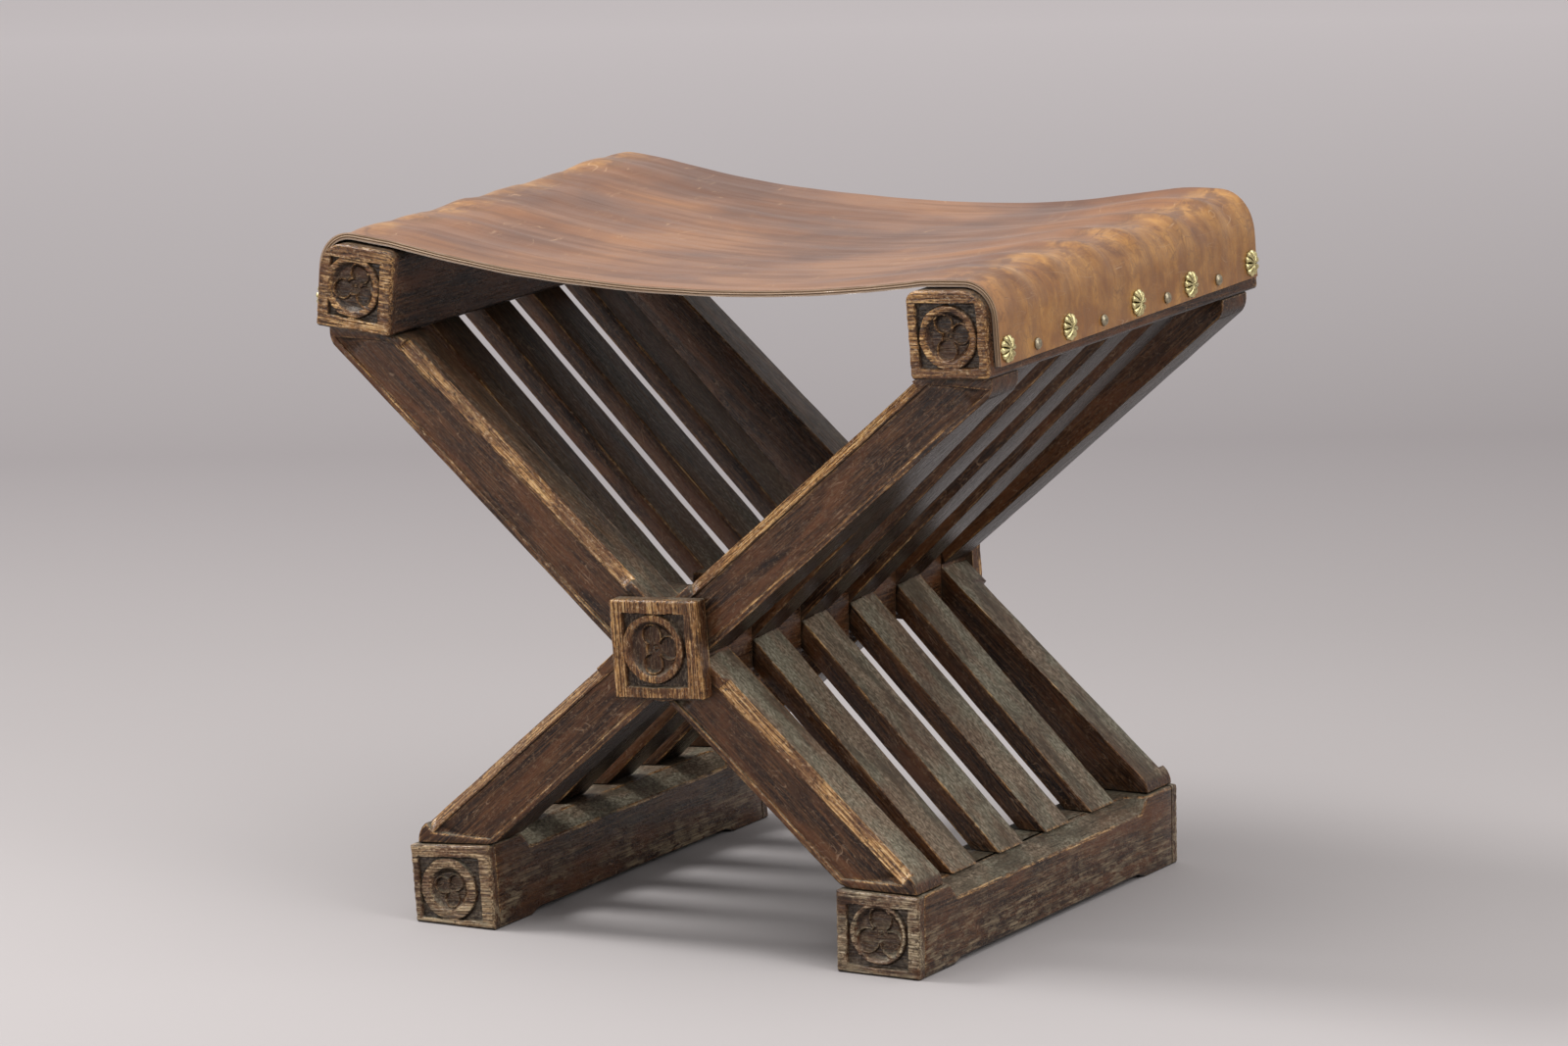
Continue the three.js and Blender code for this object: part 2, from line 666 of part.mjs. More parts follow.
for (let i = 0; i < pair_count - 1; i++) {
  const [y0, y1] = [pairFaces(i)[1] + fit, pairFaces(i + 1)[0] - fit];
  const side = 2 * hub_radius;
  const cube = solid(block(side, y1 - y0, side, 0, (y0 + y1) / 2, pivot_height));
  const bore = solid(disc(rod_radius + fit, y0 - 1, y1 + 1, 0, pivot_height, 24));
  place(`spacer_${i + 1}`, cube.subtract(bore), oak());
}

place("pivot_rod", solid(disc(rod_radius, front_face - rod_in_boss, rear_face + rod_in_boss, 0, pivot_height, 24)), iron());
place("boss_front", boss(true), oak());
place("boss_rear", boss(false), oak());
place("sling_leather", sling(), hide());

for (const key of Object.keys(sides)) {
  const count = { rosette: 0, dome: 0 };
  for (const [kind, head, y, z] of nailSpots()) {
    count[kind] += 1;
    place(`${kind}_${key}_${count[kind]}`, nail(head, key, y, z), brass());
  }
}

export default group;
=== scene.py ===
# %% [markdown]
# # A folding X stool with a leather sling
# The stool is six scissor pairs of dark oak on one rod. Two rails hold a leather sling, and two
# foot rails stand on the floor. The solids of the frame already have the right sizes and places,
# so this lesson only dresses them: worn arrises, carved ends, a creased hide and brass nails.

# %% Load the frame
import json
import math
from functools import reduce
from types import SimpleNamespace

import bmesh
import bpy
import numpy as np
from mathutils import Matrix, Vector, noise


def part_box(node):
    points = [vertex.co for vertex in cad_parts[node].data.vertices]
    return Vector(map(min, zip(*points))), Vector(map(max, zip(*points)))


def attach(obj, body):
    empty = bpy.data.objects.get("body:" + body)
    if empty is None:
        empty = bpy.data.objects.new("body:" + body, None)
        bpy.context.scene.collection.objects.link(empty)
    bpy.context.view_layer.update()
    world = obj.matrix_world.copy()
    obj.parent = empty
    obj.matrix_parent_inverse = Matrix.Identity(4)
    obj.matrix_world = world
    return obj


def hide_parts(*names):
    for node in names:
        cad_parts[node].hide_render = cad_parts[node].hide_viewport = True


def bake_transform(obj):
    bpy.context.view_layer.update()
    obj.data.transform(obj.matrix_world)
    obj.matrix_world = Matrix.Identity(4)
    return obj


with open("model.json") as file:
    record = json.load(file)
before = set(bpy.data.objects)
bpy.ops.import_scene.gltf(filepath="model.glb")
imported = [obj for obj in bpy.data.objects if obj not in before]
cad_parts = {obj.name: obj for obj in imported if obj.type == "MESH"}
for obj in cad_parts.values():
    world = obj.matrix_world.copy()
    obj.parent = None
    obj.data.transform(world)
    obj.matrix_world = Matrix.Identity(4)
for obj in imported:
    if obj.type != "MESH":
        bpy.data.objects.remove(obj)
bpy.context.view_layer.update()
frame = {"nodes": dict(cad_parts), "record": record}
bodies = frame["record"]["behaviour"]["bodies"]
body_of = {node: body for body, nodes in bodies.items() for node in nodes}
scene = bpy.context.scene
scene.view_settings.view_transform = "Standard"
MM = 0.001

# %% [markdown]
# ## The camera
# The photograph was taken from far away with a long lens, a little to the right and a little
# above. A camera is a matrix: its columns are the directions right, up and backwards, and its
# place. Building it from the two angles and the roll is exact, where tracking a target is not.

# %% Place the camera
AZIMUTH, PITCH, ROLL = (math.radians(a) for a in (29.398, 11.015, -0.942))
EYE = Vector((2.8506, -5.0737, 1.3918))
FOCAL_IN_PIXELS, PHOTO_WIDTH, SENSOR = 8839, 1600, 36
ahead = Vector((-math.sin(AZIMUTH) * math.cos(PITCH), math.cos(AZIMUTH) * math.cos(PITCH),
                -math.sin(PITCH)))
level = ahead.cross(Vector((0, 0, 1))).normalized()
upright = level.cross(ahead)
right = level * math.cos(ROLL) + upright * math.sin(ROLL)
up = upright * math.cos(ROLL) - level * math.sin(ROLL)
camera = bpy.data.objects.new("camera", bpy.data.cameras.new("camera"))
camera.data.sensor_width = SENSOR
camera.data.lens = FOCAL_IN_PIXELS / PHOTO_WIDTH * SENSOR
camera.data.clip_end = 50
camera.matrix_world = Matrix((right, up, -ahead)).transposed().to_4x4()
camera.matrix_world.translation = EYE
scene.collection.objects.link(camera)
scene.camera = camera
print("lens:", round(camera.data.lens, 1))

# %% [markdown]
# ## Finishes as small recipes
# A finish is a tree of nodes. Writing each link by hand hides the recipe, so a helper adds one
# node, sets its values and wires its inputs in a single line. Patterns then read like sentences.

# %% A helper that writes node trees
class Finish:
    """A material with its shader, and short ways to add the nodes that wood and leather need."""

    def __init__(self, name):
        self.material = bpy.data.materials.new(name)
        self.material.use_nodes = True
        self.tree = self.material.node_tree
        self.shader = self.tree.nodes["Principled BSDF"]

    def add(self, kind, wires=None, **settings):
        node = self.tree.nodes.new("ShaderNode" + kind)
        for key, value in settings.items():
            setattr(node, key, value)
        for key, value in (wires or {}).items():
            self.wire(node.inputs[key], value)
        return node

    def wire(self, socket, value):
        if isinstance(value, bpy.types.NodeSocket):
            self.tree.links.new(value, socket)
        else:
            socket.default_value = value

    def set(self, **wires):
        for key, value in wires.items():
            self.wire(self.shader.inputs[key.replace("_", " ")], value)

    def attribute(self, name, output="Vector"):
        return self.add("Attribute", attribute_name=name).outputs[output]

    def split(self, vector):
        return self.add("SeparateXYZ", {0: vector}).outputs

    def stretched(self, vector, scale, turn=0):
        wires = {"Vector": vector, "Scale": scale, "Rotation": (0, 0, turn)}
        return self.add("Mapping", wires).outputs[0]

    def noise(self, vector, scale, detail, rough, warp=0, turn=0):
        """Noise that is stretched along and across the piece by the scale."""
        wires = {"Vector": self.stretched(vector, scale, turn), "Scale": 1, "Detail": detail,
                 "Roughness": rough, "Distortion": warp}
        return self.add("TexNoise", wires).outputs[0]

    def between(self, value, low, high, to=(0, 1)):
        wires = {"Value": value, "From Min": low, "From Max": high, "To Min": to[0], "To Max": to[1]}
        return self.add("MapRange", wires, interpolation_type="SMOOTHSTEP").outputs[0]

    def math(self, how, *values):
        return self.add("Math", dict(enumerate(values)), operation=how).outputs[0]

    def times(self, a, b):
        return self.math("MULTIPLY", a, b)

    def plus(self, a, b):
        return self.math("ADD", a, b)

    def minus(self, a, b):
        return self.math("SUBTRACT", a, b)

    def most(self, a, b):
        return self.math("MAXIMUM", a, b)

    def off(self, value, middle):
        """How far a value is from a middle, on either side."""
        return self.math("ABSOLUTE", self.minus(value, middle))

    def occlusion(self, distance):
        return self.add("AmbientOcclusion", {"Distance": distance}, samples=6).outputs["AO"]

    def ramp(self, value, *stops):
        node = self.add("ValToRGB", {0: value})
        band = node.color_ramp.elements
        while len(band) < len(stops):
            band.new(1)
        for element, (place, colour) in zip(band, stops):
            element.position = place
            element.color = (*colour, 1)
        return node.outputs[0]

    def blend(self, share, a, b):
        node = self.add("Mix", data_type="RGBA")
        for socket, value in ((node.inputs[0], share), (node.inputs[6], a), (node.inputs[7], b)):
            self.wire(socket, (*value, 1) if isinstance(value, tuple) else value)
        return node.outputs[2]

    def bump(self, height, distance, strength, normal=None):
        wires = {"Height": height, "Distance": distance, "Strength": strength}
        if normal is not None:
            wires["Normal"] = normal
        return self.add("Bump", wires).outputs[0]

    def scratches(self, vector, runs, warp, width, gap_scale, gap_detail, gaps):
        """Thin lines in several directions. They follow the middle of a noise, and gaps break them."""
        lines = []
        for turn, scale in runs:
            line = self.between(self.off(self.noise(vector, scale, 2, 0.5, warp, turn), 0.5), *width)
            kept = self.between(self.noise(vector, gap_scale, gap_detail, 0.5, 0, turn), *gaps)
            lines.append(self.times(line, kept))
        return reduce(self.most, lines)

# %% [markdown]
# ## Dark oak, rubbed bare at the arrises
# The wood is stained nearly black. Hands and centuries have rubbed the stain off wherever an arris
# stands out, down to golden fibres, and grey dust has settled on what faces up. The Bevel node
# finds the arrises, because its rounded normal differs from the true one only near an edge.
# Ambient occlusion tells an outer arris from an inner corner, where a grey grime is painted instead,
# partly as painted shade, and faces turned down get painted shade.

# %% Patterns along the grain
def oak_maps(f):
    """Fibres, clouds and flecks, and where the piece is carved, hollow, or turned to the sky."""
    grain = f.attribute("grain")
    coordinates = f.add("TexCoord").outputs
    carved = f.split(f.attribute("relief"))
    maps = SimpleNamespace(grain=grain, top=carved["X"], aged=carved["Y"], sunk=carved["Z"])
    maps.facing_up = f.split(coordinates["Normal"])["Z"]
    maps.height = f.split(coordinates["Object"])["Z"]
    maps.open_air = f.occlusion(0.010)
    maps.fibre = f.noise(grain, (26, 900, 900), 5, 0.72)
    maps.cloud = f.noise(grain, (20, 34, 34), 5, 0.68)
    maps.speck = f.noise(grain, (300, 520, 520), 5, 0.75)
    maps.patch = f.noise(grain, (60, 170, 170), 5, 0.75)
    maps.pores = f.between(f.noise(grain, (70, 1500, 1500), 2, 0.5), 0.60, 0.68)
    runs = [(turn, (scale * 0.3, scale, scale)) for turn, scale in ((0.5, 70), (2.0, 55), (1.2, 90))]
    maps.scuff = f.scratches(grain, runs, 1.5, (0.007, 0.002), (45, 45, 45), 3, (0.54, 0.62))
    return maps

# %% Stain, and the bare wood under it
def stained(f, maps):
    """The dark stain, lighter on raised fibres and flecks, with fine pale scuffs."""
    figure = f.noise(maps.grain, (9, 55, 55), 6, 0.68, 0.6)
    stain = f.ramp(figure, (0.40, (0.011, 0.0045, 0.0028)), (0.5, (0.035, 0.0135, 0.0056)),
                   (0.61, (0.092, 0.032, 0.0110)))
    stain = f.blend(f.between(maps.fibre, 0.46, 0.62, (0, 0.8)), stain, (0.120, 0.052, 0.020))
    stain = f.blend(f.between(maps.speck, 0.54, 0.63, (0, 0.7)), stain, (0.150, 0.090, 0.050))
    return f.blend(f.times(maps.scuff, 0.5), stain, (0.30, 0.19, 0.115))

def bare_wood_with_highlights(f, maps):
    """Golden fibres, greyer where the end is weathered, with brown clouds, dark flecks, and pale cream
    flecks that are painted highlights.
    """
    golden = f.ramp(maps.fibre, (0.40, (0.050, 0.020, 0.008)), (0.47, (0.185, 0.080, 0.026)),
                    (0.53, (0.38, 0.190, 0.060)), (0.62, (0.64, 0.42, 0.19)))
    weathered = f.ramp(maps.fibre, (0.40, (0.045, 0.032, 0.022)), (0.47, (0.16, 0.115, 0.070)),
                       (0.53, (0.30, 0.230, 0.140)), (0.62, (0.55, 0.46, 0.32)))
    wood = f.blend(maps.aged, golden, weathered)
    wood = f.blend(f.between(maps.cloud, 0.42, 0.56, (0.7, 0)), wood, (0.105, 0.042, 0.018))
    wood = f.blend(f.between(maps.speck, 0.46, 0.40, (0, 0.85)), wood, (0.026, 0.013, 0.008))
    # The pale cream flecks are painted highlights.
    return f.blend(f.between(maps.speck, 0.56, 0.62, (0, 0.35)), wood, (0.76, 0.58, 0.36))

def rubbed_bare(f, maps):
    """How bare the wood is: at outer arrises, and where the carving or a chamfer says so."""
    true_normal = f.add("NewGeometry").outputs["Normal"]
    rounded = f.add("Bevel", {"Radius": 0.0028}, samples=6).outputs[0]
    agree = f.add("VectorMath", {0: rounded, 1: true_normal}, operation="DOT_PRODUCT").outputs["Value"]
    beside = f.between(f.minus(1.0, agree), 0.006, 0.05)
    arris = f.most(beside, f.attribute("arris", "Fac"))
    outer = f.between(maps.open_air, 0.55, 0.85)
    rubbed = f.times(f.times(arris, outer), f.between(maps.patch, 0.42, 0.54, (0.2, 1)))
    worn = f.between(f.plus(maps.top, f.times(f.minus(maps.patch, 0.5), 2.2)), 0.35, 0.75)
    return f.most(rubbed, f.times(worn, f.between(maps.top, 0, 0.15)))

# %% Dust, dirt and painted shade
def dust_film(f, maps, bare):
    """How much dust lies on what faces up, most of it low down, and its olive and brown."""
    settled = f.between(maps.facing_up, 0.35, 0.62)
    settled = f.times(settled, f.between(maps.cloud, 0.34, 0.58, (0.45, 0.95)))
    settled = f.times(settled, f.between(maps.height, 0.30, 0.20, (0.25, 1)))
    settled = f.times(settled, f.minus(1.0, f.times(bare, 0.9)))
    olive = f.ramp(maps.speck, (0.41, (0.090, 0.079, 0.052)), (0.5, (0.176, 0.157, 0.108)),
                   (0.60, (0.305, 0.277, 0.206)))
    brown = f.ramp(maps.speck, (0.41, (0.084, 0.060, 0.037)), (0.5, (0.180, 0.132, 0.086)),
                   (0.60, (0.320, 0.250, 0.178)))
    kind = f.between(f.noise(maps.grain, (14, 26, 26), 5, 0.7), 0.44, 0.56)
    wiped = f.between(f.noise(maps.grain, (9, 34, 34), 5, 0.65), 0.51, 0.38, (0, 0.75))
    return settled, f.blend(wiped, f.blend(kind, olive, brown), (0.066, 0.052, 0.033))

def dirtied_and_shaded(f, maps, colour):
    """Scuffed feet, grime and painted shade in inner corners and carved grounds, open pores, and
    painted shade on the undersides.
    """
    skirt = f.times(f.between(maps.height, 0.062, 0.0), f.between(maps.patch, 0.46, 0.56, (0, 0.9)))
    pale_fibre = f.ramp(maps.fibre, (0.42, (0.095, 0.062, 0.035)), (0.58, (0.34, 0.265, 0.165)))
    colour = f.blend(f.times(skirt, f.between(maps.cloud, 0.40, 0.55)), colour, pale_fibre)
    # Inner corners found by ambient occlusion get a grey grime, which also paints the shade there.
    corner = f.times(f.between(maps.open_air, 0.75, 0.35), f.between(maps.cloud, 0.4, 0.6, (0.1, 0.6)))
    colour = f.blend(corner, colour, (0.052, 0.047, 0.034))
    # Carved grounds are painted near black: grime left in them, and painted shade in the deep carving.
    ground = f.ramp(maps.speck, (0.40, (0.012, 0.009, 0.007)), (0.50, (0.036, 0.026, 0.018)),
                    (0.60, (0.120, 0.090, 0.062)))
    colour = f.blend(f.times(maps.sunk, 0.8), colour, ground)
    colour = f.blend(f.times(maps.pores, 0.6), colour, (0.012, 0.007, 0.005))
    # Faces turned down are painted nearly black: painted shade under the members.
    return f.blend(f.between(maps.facing_up, -0.15, -0.6, (0, 0.78)), colour, (0.006, 0.004, 0.003))

# %% Put the oak together
def oak(name):
    f = Finish(name)
    maps = oak_maps(f)
    bare = rubbed_bare(f, maps)
    settled, dust = dust_film(f, maps, bare)
    wood = f.blend(bare, stained(f, maps), bare_wood_with_highlights(f, maps))
    colour = dirtied_and_shaded(f, maps, f.blend(settled, wood, dust))

    matt = f.plus(f.times(settled, 0.5), f.times(maps.patch, 0.45))
    gloss = f.plus(f.times(maps.sunk, 0.3), f.times(bare, 0.13))
    fine = f.minus(f.times(maps.fibre, 0.7), f.times(f.plus(maps.pores, maps.scuff), 0.3))
    dents = f.noise(maps.grain, (55, 130, 130), 4, 0.6)
    normal = f.bump(dents, 0.0016, 0.6, f.bump(fine, 0.0005, 0.9))
    roughness = f.minus(f.between(matt, 0.15, 0.6, (0.26, 0.66)), gloss)
    f.set(Base_Color=colour, Roughness=roughness, Normal=normal, Specular_IOR_Level=0.28)
    return f.material

oak_dark = oak("oak_dark")

# %% [markdown]
# ## Worn joinery from the solids
# Legs, slats and foot rails were cut square and are now soft at every arris. A copy of each solid
# is welded into clean faces first. Its outer arrises are bevelled and loops are cut across it. In
# legs and slats a slow noise then pulls the loops a fraction of a millimetre, so that no edge is
# a perfect line.

# %% Helpers for a worn copy
X, Y, Z = Vector((1, 0, 0)), Vector((0, 1, 0)), Vector((0, 0, 1))
LEAST_ARRIS = 0.0105
WOBBLES_PER_METRE = 45
# Without a seed, noise_vector starts from the clock and the wood would differ in each run.
noise.seed_set(1)

def welded(node):
    bm = bmesh.new()
    bm.from_mesh(frame["nodes"][node].data)
    bmesh.ops.remove_doubles(bm, verts=bm.verts, dist=2e-5)
    bmesh.ops.dissolve_limit(bm, angle_limit=math.radians(1), verts=bm.verts, edges=bm.edges)
    return bm

def bevelled(bm, edges, radius, steps):
    made = bmesh.ops.bevel(bm, geom=edges, offset=radius, offset_type="OFFSET", segments=steps,
                           profile=0.5, affect="EDGES", material=-1, clamp_overlap=False)
    return made["faces"]

def soften(bm, radius):
    """Rounds the outer arrises and marks them, so that the finish knows where wood is rubbed."""
    layer = bm.loops.layers.float.new("arris")
    outer = [e for e in bm.edges if len(e.link_faces) == 2 and e.is_convex
             and e.calc_face_angle(0) > math.radians(32) and e.calc_length() > LEAST_ARRIS]
    for face in bevelled(bm, outer, radius, 2):
        for loop in face.loops:
            loop[layer] = 1.0

def slice_at(bm, place, normal, clear=False):
    """Cuts the mesh by a plane and, where asked to, clears what lies beyond it."""
    everything = bm.verts[:] + bm.edges[:] + bm.faces[:]
    bmesh.ops.bisect_plane(bm, geom=everything, plane_co=place, plane_no=normal, clear_outer=clear)

def cross_loops(bm, axis, pitch):
    spans = [v.co.dot(axis) for v in bm.verts]
    place = min(spans) + pitch
    while place < max(spans) - pitch / 2:
        slice_at(bm, axis * place, axis)
        place += pitch

def loosen(bm, amount, seed):
    for v in bm.verts:
        spot = v.co * WOBBLES_PER_METRE + Vector((seed * 3.1, seed, 0))
        v.co += noise.noise_vector(spot) * amount

def lay_grain(bm, axes, seed, unit=1.0):
    """Each point keeps its place along, across and through the wood, so one oak serves every piece."""
    layer = bm.verts.layers.float_vector.new("grain")
    for v in bm.verts:
        v[layer] = Vector([v.co.dot(axis) * unit + seed * 0.37 for axis in axes])

# %% From a bmesh to a piece of the stool
def to_object(bm, name, material, sharp):
    """The mesh as an object at the origin, smooth except at edges sharper than the angle."""
    mesh = bpy.data.meshes.new(name)
    bm.to_mesh(mesh)
    bm.free()
    mesh.polygons.foreach_set("use_smooth", [True] * len(mesh.polygons))
    mesh.set_sharp_from_angle(angle=math.radians(sharp))
    mesh.materials.append(material)
    piece = bpy.data.objects.new(name, mesh)
    scene.collection.objects.link(piece)
    return piece

def finished(bm, name, stands_for, material, sharp=40):
    """Turns the bmesh into a piece that rides where its solid rides and stands for it."""
    piece = to_object(bm, name, material, sharp)
    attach(piece, body_of[stands_for])
    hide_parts(stands_for)

# %% [markdown]
# ## Legs and slats
# The two outer pairs are broad legs with a long chamfer, which hands and feet have rubbed bare.
# The four inner pairs are plain slats. All of them lean, so their loops and their grain follow
# their own length. The blunt corners at a leg's ends get a rounder bevel, before all other edges.

# %% Dress the legs and slats
LEG_ANGLE, SLAT_ANGLE = math.radians(48.9), math.radians(45.6)
ROD = Vector((0, 0, 0.2038))
LOOP_PITCH = 12 * MM

def member_axes(node):
    way = -1 if "_a_" in node else 1
    angle = LEG_ANGLE if node.startswith("leg") else SLAT_ANGLE
    along = Vector((way * math.sin(angle), 0, math.cos(angle)))
    return along, Y, along.cross(Y)

def round_shoulders(bm, axis, radius):
    """The blunt corners at both ends of a leg, where the top face turns down to the end."""
    spans = [v.co.dot(axis) for v in bm.verts]
    first, last = min(spans), max(spans)
    blunt = [e for e in bm.edges if len(e.link_faces) == 2 and e.is_convex
             and 0.6 < e.calc_face_angle(0) < 0.95 and e.calc_length() > 0.025
             and abs((e.verts[0].co - e.verts[1].co).normalized().y) > 0.99
             and min(e.verts[0].co.dot(axis) - first, last - e.verts[0].co.dot(axis)) < 0.07]
    bevelled(bm, blunt, radius, 4)
    return len(blunt)

def lay_wear(bm, axes, front):
    """On an end leg the long chamfer is rubbed bare, and the narrow borders beside it partly."""
    layer = bm.loops.layers.float_vector.new("relief")
    upper_side = axes[2] if axes[2].z > 0 else -axes[2]
    out = Vector((0, -1 if front else 1, 0))
    chamfer = (upper_side + out).normalized()
    for face in bm.faces:
        spots = [(loop.vert.co - ROD).dot(upper_side) for loop in face.loops]
        border = max(spots) - min(spots) < 0.010 and face.normal.dot(out) > 0.6
        for loop, spot in zip(face.loops, spots):
            wear = 1.0 if face.normal.dot(chamfer) > 0.93 else 0.0
            if border and abs(spot) > 0.012:
                wear = max(wear, 0.40 if abs(spot) > 0.0195 else 0.16)
            loop[layer] = (wear, 0, 0)

members = [n for n in body_of if n.startswith(("leg_", "slat_"))]
for count, node in enumerate(members):
    bm = welded(node)
    leg = node.startswith("leg")
    axes = member_axes(node)
    if leg:
        print(node, "shoulders:", round_shoulders(bm, axes[0], 6 * MM))
    soften(bm, 1.2 * MM if leg else 0.8 * MM)
    cross_loops(bm, axes[0], LOOP_PITCH)
    loosen(bm, 0.3 * MM, count)
    lay_grain(bm, axes, count)
    if leg:
        bm.normal_update()
        lay_wear(bm, axes, node.endswith("front"))
    finished(bm, node + "_worn", node, oak_dark)
print("members:", len(members))

# %% Spacers
for count, node in enumerate(n for n in body_of if n.startswith("spacer")):
    bm = welded(node)
    soften(bm, 0.8 * MM)
    loosen(bm, 0.1 * MM, count)
    lay_grain(bm, (Y, X, Z), count)
    finished(bm, node + "_worn", node, oak_dark)

# %% [markdown]
# ## Carved ends
# Each rail, foot and boss ends in a carved square: a frame, sunk corners, a ring, and a bowl with
# three lobes. A chisel leaves soft, uneven slopes, which a relief gives better than sharp cuts:
# a fine grid is pushed in by a height for each point, and the same numbers say where the top is
# rubbed golden. Its rim is extruded back to make a block.

# %% The relief of one carved square
# How deep the ground and the dish lie, how much deeper the lobes, and how far a lip stands up.
GROUND, DISH, LOBE, LIP = 3.6, 4.3, 1.1, 1.9

def smooth(x, low, high):
    t = np.clip((x - low) / (high - low), 0, 1)
    return t * t * (3 - 2 * t)

def rough(x, z, wave, seed):
    return np.array([noise.noise(Vector((a * wave[0], b * wave[1], seed))) for a, b in zip(x, z)])

def relief(x, z, size, tool, seed, bars, middle, ring, lobes, heart):
    """Depth in mm below the face, how bare the wood is there, with the lips also painted as highlight
    lines, and how sunk it is, which the finish paints as grime and shade, at x and z in mm.
    """
    left, right_bar, over, under = bars
    wobble = rough(x, z, (0.12, 0.12), seed) * 0.8
    inside = np.minimum.reduce((x + size[0] - left, size[0] - right_bar - x,
                                size[1] - over - z, z + size[1] - under))
    sunk = smooth(inside + wobble, -0.4, 0.7) * GROUND
    x, z = x - middle[0], z - middle[1]
    radius = np.hypot(x, z)
    bowl, rim = ring
    crown = smooth(radius + wobble * 0.6, rim + 0.4, rim - 0.5)
    ring_top = 0.3 + 0.7 * np.clip(np.abs(radius - (rim + bowl) / 2) / (rim - bowl), 0, 1) ** 2
    depth = np.where(inside > -0.4, sunk * (1 - crown) + ring_top * crown, ring_top * crown * 0.4)
    dish = smooth(radius, bowl + 0.4, bowl - 4.6)
    depth = depth * (1 - dish) + DISH * dish
    edge = heart - radius
    for a, b, r in lobes:
        edge = np.maximum(edge, r - np.hypot(x - a, z - b))
    lip = smooth(np.abs(edge), 0.95, 0.1) * smooth(bowl - radius, 0.8, 2.4)
    depth += LOBE * smooth(edge, 0.2, 1.4) * dish - LIP * lip
    depth += 0.8 * smooth(np.abs(radius - 1.9), 0.9, 0) - 0.5 * smooth(radius, 1.4, 0.4)
    flat = 1 - smooth(depth, 0.9, 2.4)
    depth += (rough(x, z, tool, seed + 5) * 0.8 + wobble * 0.3) * (0.25 + 0.75 * flat)
    # The raised lips count as rubbed bare, and their pale wood also paints highlight lines along them.
    bare = flat * (0.75 + 0.5 * rough(x, z, (0.06, 0.06), seed + 9)) + 0.75 * lip
    return depth, np.clip(bare, 0, 1), smooth(depth, 2.0, 3.6) * (1 - lip) * (1 - 0.6 * dish)

# %% A carved block from a grid
def to_outline(s, t, w, h, corner):
    """From a square to a rounded rectangle, whose corner radii are given by the signs of x and z."""
    x, z = s * w, t * h
    for i in range(len(x)):
        r = corner[int(x[i] > 0)][int(z[i] > 0)]
        a, b = (abs(x[i]) - (w - r)) / r, (abs(z[i]) - (h - r)) / r
        if a > 0 and b > 0:
            x[i] = math.copysign(w - r + r * a * math.sqrt(1 - b * b / 2), x[i])
            z[i] = math.copysign(h - r + r * b * math.sqrt(1 - a * a / 2), z[i])
    return x, z

def carved_block(size, corner, thick, cuts, tool, seed, aged, steps=116):
    """A block that faces -Y at y = 0, in mm, as a bmesh with a layer for the wear at each point."""
    bm = bmesh.new()
    layer = bm.verts.layers.float_vector.new("relief")
    bmesh.ops.create_grid(bm, x_segments=steps, y_segments=steps, size=1)
    s, t = (np.array([v.co[k] for v in bm.verts]) for k in (0, 1))
    x, z = to_outline(s, t, *size, corner)
    depth, bare, sunk = relief(x, z, size, tool, seed, **cuts)
    edge = np.minimum(1 - np.abs(s), 1 - np.abs(t)) * min(size)
    worn = 1.3 + 0.7 * rough(x, z, (0.2, 0.2), seed + 2)
    depth = np.maximum(depth, 0) + worn * (1 - smooth(edge, 0, 1.8)) ** 2
    for v, a, d, b, top, low in zip(bm.verts, x, np.clip(depth, 0.05, thick - 1.5), z, bare, sunk):
        v.co = (a, d, b)
        v[layer] = (top, aged, low)
    rim = [e for e in bm.edges if e.is_boundary]
    back = bmesh.ops.extrude_edge_only(bm, edges=rim)["geom"]
    for v in (part for part in back if isinstance(part, bmesh.types.BMVert)):
        v.co.y = thick
        v[layer] = (0, aged, 0)
    bmesh.ops.holes_fill(bm, edges=[e for e in bm.edges if e.is_boundary])
    bmesh.ops.recalc_face_normals(bm, faces=bm.faces)
    return bm

# %% From mm around its own centre to metres in the stool
SOLE = 10

def turn(bm, angle, axis):
    bmesh.ops.rotate(bm, verts=bm.verts, cent=(0, 0, 0), matrix=Matrix.Rotation(angle, 3, axis))

def move_in_mm(bm, place):
    """Moves the mesh to its place, and only then turns its mm into metres."""
    bmesh.ops.translate(bm, verts=bm.verts, vec=place)
    bmesh.ops.scale(bm, verts=bm.verts, vec=(MM, MM, MM))

def set_block(bm, lean, place, front, stands=False):
    """Leans the block about Y and moves it. Where it stands, its sole is drawn level to the floor."""
    if not front:
        turn(bm, math.pi, "Z")
    tilt, z = math.radians(lean), place[2]
    for v in bm.verts if stands else ():
        ground = (-z - v.co.x * math.sin(tilt)) / math.cos(tilt)
        v.co.z += max(SOLE - z - v.co.z, 0) / SOLE * (ground + z)
    turn(bm, -tilt, "Y")
    move_in_mm(bm, place)

# %% Sizes in mm and leans in degrees, for rails and feet
SEAT = {"x": 226.34, "z": 436.0, "half": (28.75, 29.25), "reach": 197.5, "corners": (19.0, 8.0, 3.0)}
FOOT = {"x": 164.73, "z": 28.0, "half": (31.2, 28.0), "reach": 190.0, "corners": (1.4, 1.4, 1.4)}
LEANS = {"seat_rail_left": -5.2, "seat_rail_right": 4.0, "foot_rail_left": 4.2, "foot_rail_right": 0.0}
END = 8.0

def carving(bars, middle, ring, lobes, heart):
    """A frame's four bars, the ring's centre and two radii, three lobes, and the disc they join."""
    return {"bars": bars, "middle": middle, "ring": ring, "lobes": lobes, "heart": heart}

